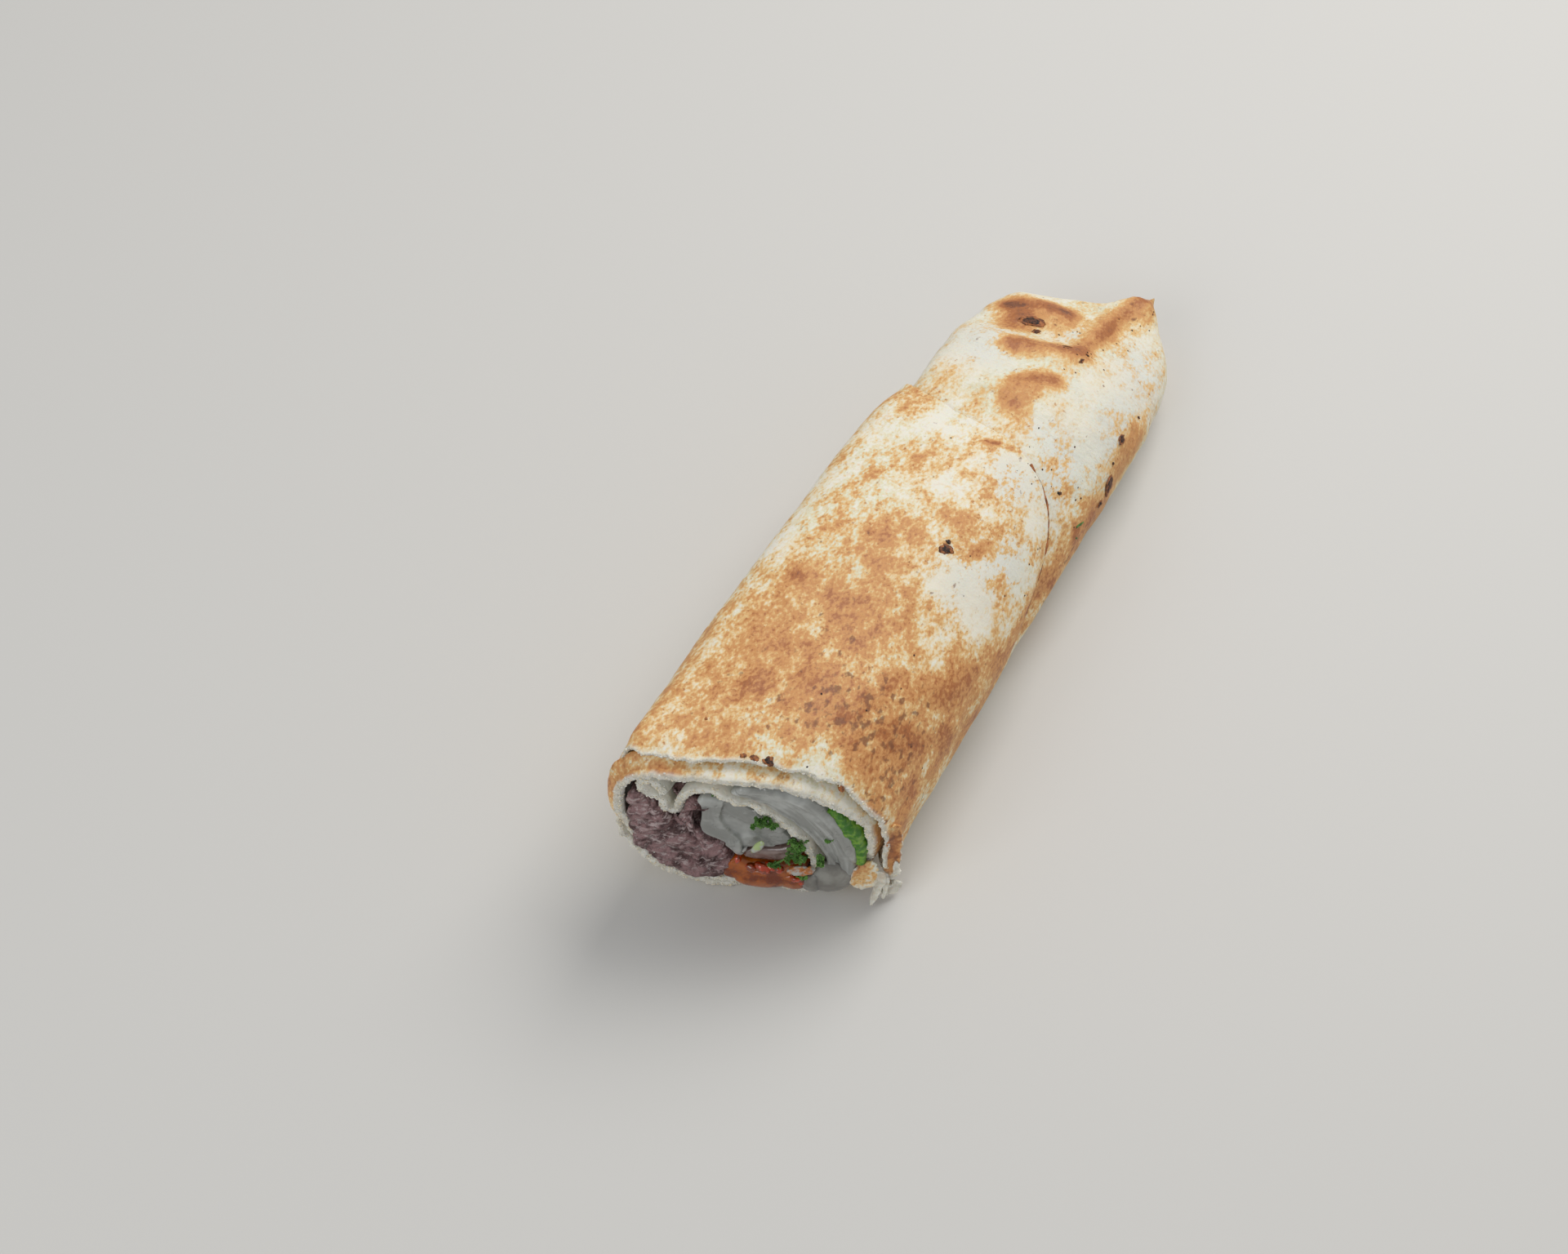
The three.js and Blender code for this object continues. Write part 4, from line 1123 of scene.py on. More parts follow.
# Brown toasted dots, written in the same way.
DOTTED = (
    ((-2.4, 0.8, 38.5), 1.4, 1.0, 0), ((-4.1, 0.2, 38.6), 0.9, 0.7, 20),
    ((11.3, 5.2, 33.2), 1.2, 0.9, 0), ((-13.0, 3.2, 38.8), 0.5, 0.4, 0),
    ((-18.0, 44.0, 35.0), 1.3, 0.6, 60),
)
# Lumps of wet tomato pulp: place across, up and forward of the cut, half its width and height, and seed.
PULP_LUMPS = (
    (1.0, 10.3, 2.4, 1.6, 0.7, 21), (2.8, 10.4, 2.4, 1.3, 0.6, 22), (-0.4, 9.9, 2.3, 1.0, 0.6, 23),
    (1.8, 9.6, 2.7, 0.9, 0.5, 24), (4.0, 10.0, 2.6, 0.7, 0.7, 25), (-2.6, 11.9, 2.0, 0.6, 0.8, 26),
    (6.6, 7.6, 2.7, 1.1, 0.7, 27), (7.6, 6.4, 2.4, 0.7, 0.9, 28),
)
# Sprigs of parsley: place across, up and forward of the cut, spread the same three ways, and count.
SPRIGS = (
    (1.2, 24.8, 2.6, 1.7, 1.1, 0.5, 34), (6.3, 18.0, 2.9, 1.4, 1.9, 0.7, 36),
    (6.2, 14.4, 3.0, 1.6, 1.6, 0.7, 30), (10.2, 14.0, 2.8, 0.5, 1.7, 0.5, 14),
    (3.4, 11.8, 3.0, 0.8, 0.5, 0.3, 7), (8.0, 9.6, 3.6, 0.5, 0.4, 0.2, 5),
    (-6.8, 30.6, 1.2, 0.3, 0.3, 0.2, 2), (11.0, 21.0, 1.8, 0.3, 1.2, 0.2, 3),
)

# Torn scraps of bread: name, thickness, seed, raggedness, then the strength of the toast, its middle as
# shares across and down, and its reach, then the four corners.
SCRAPS = (
    ("bread_tab", 1.1, 71, 0.3, (0.6, (0.1, 0.1), 0.4), all_at_cut(
        (15.0, 12.0, 1.4), (19.2, 12.2, 1.2), (19.2, 5.4, 2.2), (14.6, 4.8, 2.4),
    )),
    ("bread_flap", 1.0, 75, 0.3, (1.3, (0.5, 0.5), 0.7), all_at_cut(
        (18.6, 22.0, -0.8), (20.8, 22.0, -1.6), (21.4, 6.6, -0.2), (18.9, 8.4, 0.8),
    )),
    ("torn_strip_a", 0.8, 79, 0.3, (0.0, (0, 0), 1), all_at_cut(
        (18.8, 11.4, 2.0), (20.5, 9.6, 1.8), (19.3, 1.2, 3.2), (18.5, 0.6, 3.4),
    )),
    ("torn_strip_b", 0.7, 80, 0.3, (0.0, (0, 0), 1), all_at_cut(
        (19.8, 9.0, 2.0), (20.9, 8.4, 1.8), (20.8, 2.8, 2.6), (20.2, 2.6, 2.8),
    )),
    ("torn_strip_c", 1.0, 83, 0.45, (0.2, (0.5, 0), 0.5), (
        (18.8, 7.2, 3.0), (20.2, 9.4, 5.2), (21.6, 12.4, 2.6), (21.2, 10.0, 0.8),
    )),
    ("torn_strip_d", 0.8, 87, 0.3, (0.3, (0, 0.5), 0.4), (
        (20.4, 9.8, 11.6), (21.5, 10.4, 11.0), (21.7, 10.6, 7.6), (20.8, 9.6, 7.6),
    )),
)


def onion_rings(points):
    """What the onion's material reads on its round end, as if its layers ran round a core."""
    reach = np.hypot(points[:, 0] - 11.5, points[:, 2] - 9.0) * MM
    return {"across": reach, "along": points[:, 2] * MM}


def leaflet(name):
    """One curly parsley leaflet a millimetre across, as a form to copy."""
    count = 42
    turn = np.linspace(0, 2 * np.pi, count, endpoint=False)
    reach = 0.5 * (0.74 + 0.3 * np.cos(5 * turn) ** 2 * np.cos(turn / 2) ** 2 + 0.1 * np.cos(15 * turn))
    layers = []
    for share in (0.5, 1.0):
        x, y = reach * share * np.cos(turn), reach * share * np.sin(turn)
        z = 0.35 * (x * x + y * y) / 0.25 * 0.5 + 0.09 * share * np.sin(5 * turn)
        layers.append(np.stack([x, y, z], -1))
    top = np.concatenate(layers)
    bottom = top - np.array([0, 0, 0.09])
    points = np.concatenate([top, bottom, [(0, 0, 0.02), (0, 0, -0.08)]])
    ring = np.arange(count)
    nxt = np.roll(ring, -1)
    low = 2 * count
    faces = [
        face_rows(ring, ring + count, nxt + count, nxt),
        face_rows(ring + low, nxt + low, nxt + count + low, ring + count + low),
        face_rows(ring + count, ring + count + low, nxt + count + low, nxt + count),
        face_rows(np.full(count, 4 * count), ring, nxt),
        face_rows(np.full(count, 4 * count + 1), nxt + low, ring + low),
    ]
    return new_object(name, mesh_of(name, points * MM, faces))


# ---------------- geometry nodes
NUMBER = "NodeSocketFloat"


def geometry_group(name, inputs):
    """A geometry node group with Geometry in and out and other named inputs."""
    tree = bpy.data.node_groups.new(name, "GeometryNodeTree")
    tree.interface.new_socket("Geometry", in_out="INPUT", socket_type="NodeSocketGeometry")
    for label, kind, description in inputs:
        tree.interface.new_socket(label, in_out="INPUT", socket_type=kind, description=description)
    tree.interface.new_socket("Geometry", in_out="OUTPUT", socket_type="NodeSocketGeometry")
    graph = Graph(tree)
    return graph, graph.add("NodeGroupInput").outputs, graph.add("NodeGroupOutput").inputs


def random_between(graph, low, high, seed, kind="FLOAT"):
    """A random number or vector for each point."""
    node = graph.add("FunctionNodeRandomValue", data_type=kind)
    first = 0 if kind == "FLOAT_VECTOR" else 2
    graph.feed(node.inputs[first], low)
    graph.feed(node.inputs[first + 1], high)
    graph.feed(node.inputs["Seed"], seed)
    return node.outputs[0 if kind == "FLOAT_VECTOR" else 1]


def placed(graph, points, form, turned, size, material, offset=None):
    """Copies a form onto points, makes the copies real, shifts them and gives them a material."""
    sockets = {"Points": points, "Instance": form, "Rotation": turned, "Scale": size}
    copies = graph.add("GeometryNodeInstanceOnPoints", sockets).outputs[0]
    real = graph.add("GeometryNodeRealizeInstances", {"Geometry": copies}).outputs[0]
    if offset is not None:
        shifted = {"Geometry": real, "Offset": offset}
        real = graph.add("GeometryNodeSetPosition", shifted).outputs[0]
    return graph.add("GeometryNodeSetMaterial", {"Geometry": real, "Material": material}).outputs[0]


def sprig_group():
    """Copies a leaflet onto points, each turned to its own angle."""
    graph, given, put = geometry_group("Sprig", [
        ("Leaflet", "NodeSocketObject", "The leaflet that is copied"),
        ("Smallest", NUMBER, "Smallest size in mm"),
        ("Largest", NUMBER, "Largest size in mm"),
        ("Seed", "NodeSocketInt", "Changes the random angles and sizes"),
        ("Material", "NodeSocketMaterial", "Material of the leaves"),
    ])
    form = graph.add("GeometryNodeObjectInfo", {"Object": given["Leaflet"]}).outputs["Geometry"]
    turned = random_between(graph, (0.2, -0.9, -1.2), (1.7, 0.9, 1.2), given["Seed"], "FLOAT_VECTOR")
    size = random_between(graph, given["Smallest"], given["Largest"], given["Seed"])
    graph.feed(put[0], placed(graph, given["Geometry"], form, turned, size, given["Material"]))
    return graph.tree


def crumb_group():
    """Scatters small irregular lumps over the faces where an attribute is strong."""
    graph, given, put = geometry_group("Crumbs", [
        ("Mask", "NodeSocketString", "Attribute that says where they lie"),
        ("Density", NUMBER, "Most lumps per square millimetre"),
        ("Smallest", NUMBER, "Smallest half-size in mm"),
        ("Largest", NUMBER, "Largest half-size in mm"),
        ("Flatness", NUMBER, "Height as a share of width"),
        ("Seed", "NodeSocketInt", "Changes where the lumps fall"),
        ("Material", "NodeSocketMaterial", "Material of the lumps"),
    ])
    named = {"Name": given["Mask"]}
    mask = graph.add("GeometryNodeInputNamedAttribute", named, data_type="FLOAT").outputs[0]
    per_metre = graph.times(given["Density"], 1e6)
    density = graph.times(graph.math("POWER", mask, 2.0), per_metre)
    sockets = {"Mesh": given["Geometry"], "Density": density, "Seed": given["Seed"]}
    spread = graph.add("GeometryNodeDistributePointsOnFaces", sockets).outputs
    ball = graph.add("GeometryNodeMeshIcoSphere", {"Radius": MM, "Subdivisions": 2}).outputs[0]
    size = random_between(graph, given["Smallest"], given["Largest"], given["Seed"])
    narrow, flat = (graph.times(size, share) for share in (0.75, given["Flatness"]))
    scale = graph.add("ShaderNodeCombineXYZ", {0: size, 1: narrow, 2: flat}).outputs[0]
    bumps = graph.add("ShaderNodeTexNoise", {"Scale": 4200.0, "Detail": 1.0}).outputs["Color"]
    either_way = {0: bumps, 1: (0.5, 0.5, 0.5)}
    centred = graph.add("ShaderNodeVectorMath", either_way, operation="SUBTRACT").outputs[0]
    small = {0: centred, "Scale": 0.16 * MM}
    offset = graph.add("ShaderNodeVectorMath", small, operation="SCALE").outputs[0]
    where, turned = spread["Points"], spread["Rotation"]
    graph.feed(put[0], placed(graph, where, ball, turned, scale, given["Material"], offset))
    return graph.tree


def grown(name, carrier_mesh, tree, settings):
    """Runs a geometry node group on a mesh and keeps the result as a new object."""
    carrier = new_object(name + "_carrier", carrier_mesh)
    modifier = carrier.modifiers.new("grow", "NODES")
    modifier.node_group = tree
    sockets = {item.name: item.identifier for item in tree.interface.items_tree if item.in_out == "INPUT"}
    for label, value in settings.items():
        modifier[sockets[label]] = value
    carrier.update_tag()
    evaluated = carrier.evaluated_get(bpy.context.evaluated_depsgraph_get())
    mesh = bpy.data.meshes.new_from_object(evaluated)
    mesh.name = name
    mesh.materials.clear()
    mesh.materials.append(settings["Material"])
    mesh.polygons.foreach_set("material_index", np.zeros(len(mesh.polygons), np.int32))
    places = np.empty(len(mesh.vertices) * 3)
    mesh.vertices.foreach_get("co", places)
    mesh.vertices.foreach_set("co", inside_model(places.reshape(-1, 3)).ravel())
    bpy.data.objects.remove(carrier)
    if not len(mesh.polygons):
        raise ValueError(name + " came out empty")
    return new_object(name, mesh)


# ---------------- materials
def linear(red, green, blue):
    """A colour written as 0 to 255 values, as the linear numbers that shaders take."""
    shares = (value / 255 for value in (red, green, blue))
    return tuple(c / 12.92 if c <= 0.04045 else ((c + 0.055) / 1.055) ** 2.4 for c in shares)


class Graph:
    """Adds nodes to one node tree and joins their sockets."""

    def __init__(self, tree):
        self.tree = tree

    def add(self, kind, sockets=None, **settings):
        """A new node with its settings, and its sockets fed."""
        node = self.tree.nodes.new(kind)
        for name, value in settings.items():
            setattr(node, name, value)
        for key, value in (sockets or {}).items():
            self.feed(node.inputs[key], value)
        return node

    def feed(self, socket, value):
        """Links a socket to another one, or sets its value."""
        if isinstance(value, bpy.types.NodeSocket):
            self.tree.links.new(value, socket)
        elif socket.type == "RGBA" and len(value) == 3:
            socket.default_value = (*value, 1)
        else:
            socket.default_value = value

    def noise(self, at, size, detail=3.0, roughness=0.55):
        """Noise with features size millimetres apart."""
        sockets = {"Vector": at, "Scale": 1 / (size * MM), "Detail": detail, "Roughness": roughness}
        return self.add("ShaderNodeTexNoise", sockets).outputs["Fac"]

    def mapped(self, at, turn, scale):
        """Coordinates turned by angles in radians and stretched."""
        sockets = {"Vector": at, "Rotation": turn, "Scale": scale}
        return self.add("ShaderNodeMapping", sockets).outputs[0]

    def math(self, operation, a, b=0.0):
        return self.add("ShaderNodeMath", {0: a, 1: b}, operation=operation).outputs[0]

    def times(self, a, b):
        return self.math("MULTIPLY", a, b)

    def ramp(self, value, low, high, start=0.0, stop=1.0):
        """Smooth step of value from low to high, as start to stop."""
        node = self.add("ShaderNodeMapRange", interpolation_type="SMOOTHSTEP")
        for key, number in ((0, value), (1, low), (2, high), (3, start), (4, stop)):
            self.feed(node.inputs[key], number)
        return node.outputs[0]

    def blend(self, share, a, b):
        """Colour a turned into colour b by a share."""
        node = self.add("ShaderNodeMix", data_type="RGBA")
        for key, value in ((0, share), (6, a), (7, b)):
            self.feed(node.inputs[key], value)
        return node.outputs[2]

    def attribute(self, name):
        return self.add("ShaderNodeAttribute", attribute_name=name).outputs["Fac"]

    def bump(self, height, distance, strength=1.0):
        sockets = {"Height": height, "Distance": distance * MM, "Strength": strength}
        return self.add("ShaderNodeBump", sockets).outputs["Normal"]


def shader_group(name, inputs, outputs):
    """An empty node group with named sockets, and its input and output nodes."""
    tree = bpy.data.node_groups.new(name, "ShaderNodeTree")
    for label, kind, value in inputs:
        socket = tree.interface.new_socket(label, in_out="INPUT", socket_type=kind)
        if value is not None:
            socket.default_value = value
    for label, kind in outputs:
        tree.interface.new_socket(label, in_out="OUTPUT", socket_type=kind)
    graph = Graph(tree)
    return graph, graph.add("NodeGroupInput").outputs, graph.add("NodeGroupOutput").inputs


def food_grain_group():
    """Two sizes of grain, as a mask for colour and a height for bump."""
    graph, given, put = shader_group(
        "Food grain",
        [("Vector", "NodeSocketVector", None), ("Size mm", NUMBER, 1.0)],
        [("Mask", NUMBER), ("Height", NUMBER)],
    )
    scale = graph.math("DIVIDE", 1 / MM, given["Size mm"])
    sockets = {"Vector": given["Vector"], "Scale": scale, "Detail": 4.0, "Roughness": 0.62}
    fine = graph.add("ShaderNodeTexNoise", sockets).outputs["Fac"]
    sockets = {"Vector": given["Vector"], "Scale": graph.times(scale, 3.1), "Detail": 2.0}
    finer = graph.add("ShaderNodeTexNoise", sockets).outputs["Fac"]
    graph.feed(put["Mask"], graph.ramp(fine, 0.38, 0.64))
    graph.feed(put["Height"], graph.math("ADD", fine, graph.times(finer, 0.45)))
    return graph.tree


def browning_group():
    """How brown the bread is: a zone with blotches of three sizes laid over it."""
    sizes = (("Blotch mm", 6.5, 4.0, 0.6), ("Patch mm", 2.8, 4.0, 0.62), ("Fleck mm", 0.7, 2.0, 0.5))
    floats = [("Zone", NUMBER, 0.5), ("Mottling", NUMBER, 1.0)]
    floats += [(name, NUMBER, size) for name, size, detail, rough_share in sizes]
    graph, given, put = shader_group(
        "Browning", [("Vector", "NodeSocketVector", None)] + floats, [("Value", NUMBER)],
    )
    swing = 0.0
    for (name, size, detail, rough_share), weight in zip(sizes, (1.9, 1.1, 0.8)):
        sockets = {"Vector": given["Vector"], "Scale": graph.math("DIVIDE", 1 / MM, given[name])}
        grain = graph.add("ShaderNodeTexNoise", {**sockets, "Detail": detail, "Roughness": rough_share})
        part = graph.times(graph.math("SUBTRACT", grain.outputs["Fac"], 0.5), weight)
        swing = graph.math("ADD", part, swing)
    swing = graph.times(swing, given["Mottling"])
    graph.feed(put["Value"], graph.math("ADD", given["Zone"], swing))
    return graph.tree


def group_of(name, maker):
    """The node group of that name, made once."""
    return bpy.data.node_groups.get(name) or maker()


def start_material(name):
    """A new material, its graph, object coordinates and its Principled BSDF."""
    material = bpy.data.materials.new(name)
    material.use_nodes = True
    tree = material.node_tree
    tree.nodes.clear()
    graph = Graph(tree)
    shader = graph.add("ShaderNodeBsdfPrincipled")
    output = graph.add("ShaderNodeOutputMaterial")
    tree.links.new(shader.outputs[0], output.inputs["Surface"])
    at = graph.add("ShaderNodeTexCoord").outputs["Object"]
    return material, graph, at, shader


def set_surface(graph, shader, values):
    """Gives sockets of a Principled BSDF their values or what feeds them."""
    for name, value in values.items():
        graph.feed(shader.inputs[name], value)


def use_group(graph, tree, **sockets):
    """Places a node group with its inputs, a _ in their names standing for a space."""
    node = graph.add("ShaderNodeGroup", node_tree=tree)
    for key, value in sockets.items():
        graph.feed(node.inputs[key.replace("_", " ")], value)
    return node.outputs


def soft_inside(shader, weight, radius, scale):
    """Light that enters the food and comes out near by, with reach in millimetres."""
    shader.inputs["Subsurface Weight"].default_value = weight
    shader.inputs["Subsurface Radius"].default_value = radius
    shader.inputs["Subsurface Scale"].default_value = scale * MM


def bread_material(name):
    """Pale dough that browns through golden and toast to scorched, with a torn edge of crumb."""
    looks = bpy.context.scene.sandwich_bread
    material, graph, at, shader = start_material(name)
    grain = group_of("Food grain", food_grain_group)
    browning = group_of("Browning", browning_group)
    toast, freckle = graph.attribute("toast"), graph.attribute("freckle")
    torn, inside, even = graph.attribute("torn"), graph.attribute("inside"), graph.attribute("even")
    fine = use_group(graph, grain, Vector=at, Size_mm=1.3)
    stretched = graph.mapped(at, (0, 0, -0.6), (1.25, 0.8, 1.0))
    mottling = graph.ramp(even, 0, 1, 1.0, 0.62)
    ground = graph.ramp(even, 0, 1, 0.13, 0.07)
    chalk = graph.attribute("chalk")
    # The toast attribute also holds painted shade on the lower right flank.
    zone_in = graph.math("ADD", graph.times(toast, looks.browning), ground)
    brown = use_group(graph, browning, Vector=stretched, Zone=zone_in, Mottling=mottling)["Value"]
    # Dough of cream and pale patches, chalky white at the tip with a painted cool sheen, with flour where
    # it isn't brown.
    cool = graph.ramp(graph.noise(at, 19, 3, 0.55), 0.44, 0.6)
    dough = graph.blend(cool, looks.cream[:], looks.pale[:])
    dough = graph.blend(graph.times(chalk, 0.95), dough, looks.chalky_sheen[:])
    cloud = graph.math("MAXIMUM", graph.ramp(brown, -0.08, 0.16), chalk)
    colour = graph.blend(cloud, looks.floury[:], dough)
    # Browning, from a golden halo over toast to freckles and fine speckles.
    halo = graph.ramp(graph.noise(at, 1.1, 4, 0.66), 0.5, 0.7, 0, 0.8)
    halo = graph.times(halo, graph.ramp(graph.noise(at, 9, 2, 0.5), 0.42, 0.6, 0.15, 1.0))
    halo = graph.times(halo, graph.math("SUBTRACT", 1.0, graph.times(chalk, 0.8)))
    colour = graph.blend(halo, colour, looks.golden[:])
    stops = (
        (0.12, 0.40, looks.golden), (0.32, 0.62, looks.toast), (0.62, 0.98, looks.deep_toast),
        (0.98, 1.4, looks.scorched),
    )
    for low, high, stop in stops:
        colour = graph.blend(graph.ramp(brown, low, high), colour, stop[:])
    dots = graph.math("ADD", graph.times(freckle, 0.22), graph.noise(stretched, 1.5, 2, 0.5))
    colour = graph.blend(graph.ramp(dots, 0.68, 0.82, 0, 0.75), colour, looks.scorched[:])
    speckle = graph.ramp(graph.noise(at, 0.8, 3, 0.6), 0.6, 0.7, 0, 0.75)
    flecked = graph.times(speckle, graph.ramp(brown, 0.02, 0.4, 0.12, 1.0))
    colour = graph.blend(flecked, colour, looks.deep_toast[:])
    # The inner face and the torn edge.
    damp = graph.blend(graph.ramp(graph.noise(at, 5, 3), 0.4, 0.65), looks.damp[:], looks.damp_shade[:])
    colour = graph.blend(inside, colour, damp)
    crumb = graph.blend(fine["Mask"], looks.crumb[:], looks.crumb_shade[:])
    colour = graph.blend(graph.times(torn, 0.94), colour, crumb)
    puckers = graph.mapped(at, (0, 0, 0.5), (0.55, 1.7, 1.0))
    creased = graph.times(graph.noise(puckers, 2.3, 4, 0.6), graph.ramp(even, 0, 1, 1.2, 3.2))
    height = graph.math("ADD", fine["Height"], creased)
    set_surface(graph, shader, {
        "Base Color": colour, "Roughness": graph.ramp(brown, 0.2, 0.9, 0.72, 0.52),
        "Normal": graph.bump(height, 0.17, 0.7),
    })
    soft_inside(shader, 0.16, (1.0, 0.72, 0.45), 1.6)
    return material


def meat_material(name):
    """Brown meat with darker grain and light fibres."""
    looks = bpy.context.scene.sandwich_fillings
    material, graph, at, shader = start_material(name)
    grain = group_of("Food grain", food_grain_group)
    stretched = graph.mapped(at, (0.3, 0.5, 0.2), (1.0, 1.0, 2.6))
    fibre = use_group(graph, grain, Vector=stretched, Size_mm=1.2)
    lump = graph.noise(at, 3.4, 5, 0.7)
    colour = graph.blend(graph.ramp(lump, 0.4, 0.58), looks.meat_dark[:], looks.meat[:])
    flecks = graph.ramp(graph.noise(stretched, 1.7, 5, 0.7), 0.5, 0.62)
    colour = graph.blend(graph.times(flecks, 0.8), colour, looks.meat_fleck[:])
    set_surface(graph, shader, {
        "Base Color": colour, "Roughness": graph.ramp(fibre["Mask"], 0, 1, 0.28, 0.55),
        "Normal": graph.bump(fibre["Height"], 0.4, 1.0), "Specular IOR Level": 0.45,
    })
    soft_inside(shader, 0.08, (1.0, 0.4, 0.35), 0.8)
    return material


def onion_material(name, clear, cloudy, roughness, streaks):
    """Wet onion, clear with cloudy patches, and with streaks along its layers."""
    material, graph, at, shader = start_material(name)
    across = graph.times(graph.attribute("across"), 3.0)
    along = graph.times(graph.attribute("along"), 0.22)
    lengthwise = graph.add("ShaderNodeCombineXYZ", {0: across, 1: along}).outputs[0]
    veins = graph.noise(lengthwise, 2.6, 3, 0.55)
    patches = graph.noise(at, 5.0, 3, 0.55)
    colour = graph.blend(graph.ramp(veins, 0.45, 0.68, 0, streaks), clear, cloudy)
    colour = graph.blend(graph.ramp(patches, 0.46, 0.68, 0, 0.7), colour, cloudy)
    set_surface(graph, shader, {
        "Base Color": colour, "Roughness": graph.ramp(patches, 0.3, 0.7, roughness, roughness + 0.12),
        "Normal": graph.bump(veins, 0.1, 0.4 * streaks), "Specular IOR Level": 0.6,
        "Coat Weight": 0.8, "Coat Roughness": 0.1,
    })
    soft_inside(shader, 0.55, (1.0, 0.97, 0.9), 2.2)
    return material


def tomato_material(name):
    """Wet tomato with darker and brighter patches."""
    looks = bpy.context.scene.sandwich_fillings
    material, graph, at, shader = start_material(name)
    pulp = graph.noise(at, 3.0, 4, 0.6)
    colour = graph.blend(graph.ramp(pulp, 0.4, 0.62), looks.tomato[:], looks.tomato_dark[:])
    bright = graph.ramp(graph.noise(at, 1.8, 3), 0.6, 0.75, 0, 0.4)
    colour = graph.blend(bright, colour, looks.tomato_bright[:])
    set_surface(graph, shader, {
        "Base Color": colour, "Roughness": graph.ramp(pulp, 0.3, 0.7, 0.14, 0.3),
        "Normal": graph.bump(graph.noise(at, 0.9, 3), 0.12, 0.5),
        "Coat Weight": 0.35, "Coat Roughness": 0.08,
    })
    soft_inside(shader, 0.2, (1.0, 0.3, 0.12), 1.2)
    return material


def leaf_material(name, deep, light):
    """A leaf of deep green with lighter veins."""
    material, graph, at, shader = start_material(name)
    veins = graph.noise(at, 1.1, 3, 0.6)
    colour = graph.blend(graph.ramp(veins, 0.4, 0.66), deep, light)
    set_surface(graph, shader, {
        "Base Color": colour, "Roughness": graph.ramp(veins, 0.3, 0.7, 0.32, 0.5),
        "Normal": graph.bump(veins, 0.15, 0.6),
    })
    soft_inside(shader, 0.25, (0.5, 1.0, 0.3), 0.8)
    return material


def plain_material(name, colour, shade, size, roughness, soft=0.0, coat=0.0):
    """Two close colours in patches of one size, for small pieces."""
    material, graph, at, shader = start_material(name)
    patches = graph.noise(at, size, 3, 0.6)
    set_surface(graph, shader, {
        "Base Color": graph.blend(graph.ramp(patches, 0.4, 0.64), colour, shade),
        "Normal": graph.bump(patches, size * 0.1, 0.5), "Roughness": roughness, "Coat Weight": coat,
    })
    soft_inside(shader, soft, (1.0, 0.8, 0.6), 1.0)
    return material


# ---------------- settings
def tint(name, description, red, green, blue):
    """A colour that a user can change, written as 0 to 255 values."""
    return bpy.props.FloatVectorProperty(
        name=name, description=description, subtype="COLOR", size=3, min=0, max=1,
        default=linear(red, green, blue),
    )


def amount(name, description, default, **details):
    """A number of 0 or more that a user can change."""
    return bpy.props.FloatProperty(
        name=name, description=description, default=default, **{"min": 0, **details},
    )


class SandwichBread(bpy.types.PropertyGroup):
    """Colours and browning of the flatbread."""

    # The toast that this scales also holds painted shade on the lower right flank.
    browning: amount(
        "Browning", "How strongly the toasted areas show", 0.65, max=2, subtype="FACTOR",
    )
    cream: tint("Cream", "Dough that the grill has hardly touched", 240, 224, 190)
    pale: tint("Pale", "Cooler, paler dough", 230, 226, 198)
    floury: tint("Floury", "Dusty white patches", 240, 235, 220)
    # Pale dough, partly a painted cool sheen of the sky on the bread's whites.
    chalky_sheen: tint("Chalky", "Cool white dough of the tip", 224, 226, 220)
    golden: tint("Golden", "Light toast", 232, 192, 131)
    toast: tint("Toast", "Full toast", 212, 152, 92)
    deep_toast: tint("Deep toast", "Darkest toast", 176, 108, 58)
    scorched: tint("Scorched", "Dark brown freckles", 122, 72, 45)
    crumb: tint("Crumb", "Torn edge of the bread", 232, 230, 220)
    crumb_shade: tint("Crumb shade", "Pores of the torn edge", 204, 200, 186)
    damp: tint("Damp", "Inner face of the bread", 226, 224, 214)
    damp_shade: tint("Damp shade", "Wetter patches of the inner face", 206, 204, 190)


class SandwichFillings(bpy.types.PropertyGroup):
    """Colours of the fillings."""

    meat: tint("Meat", "Cooked meat", 158, 124, 124)
    meat_dark: tint("Meat shade", "Darker grain of the meat", 84, 58, 57)
    meat_fleck: tint("Meat flecks", "Light fibres and fat", 204, 186, 184)
    onion: tint("Onion", "Clear part of the onion", 141, 142, 137)
    onion_cloudy: tint("Onion, cloudy", "Cloudy part of the onion", 188, 190, 186)
    sliver: tint("Onion sliver", "Clear part of the stained sliver", 112, 88, 80)
    sliver_cloudy: tint("Onion sliver, cloudy", "Cloudy part of the sliver", 156, 134, 128)
    tomato: tint("Tomato", "Tomato flesh", 178, 92, 22)
    tomato_dark: tint("Tomato shade", "Darker tomato", 122, 50, 8)
    tomato_bright: tint("Tomato pulp", "Wet red pulp", 196, 60, 8)
    bulb: tint("Onion end", "Clear part of the onion's round end", 120, 116, 108)
    bulb_cloudy: tint("Onion end, cloudy", "Cloudy part of the onion's round end", 158, 158, 150)
    leaf: tint("Leaf", "Leaf at the right of the cut", 52, 116, 8)
    leaf_light: tint("Leaf, light", "Lighter veins of the leaf", 122, 168, 48)


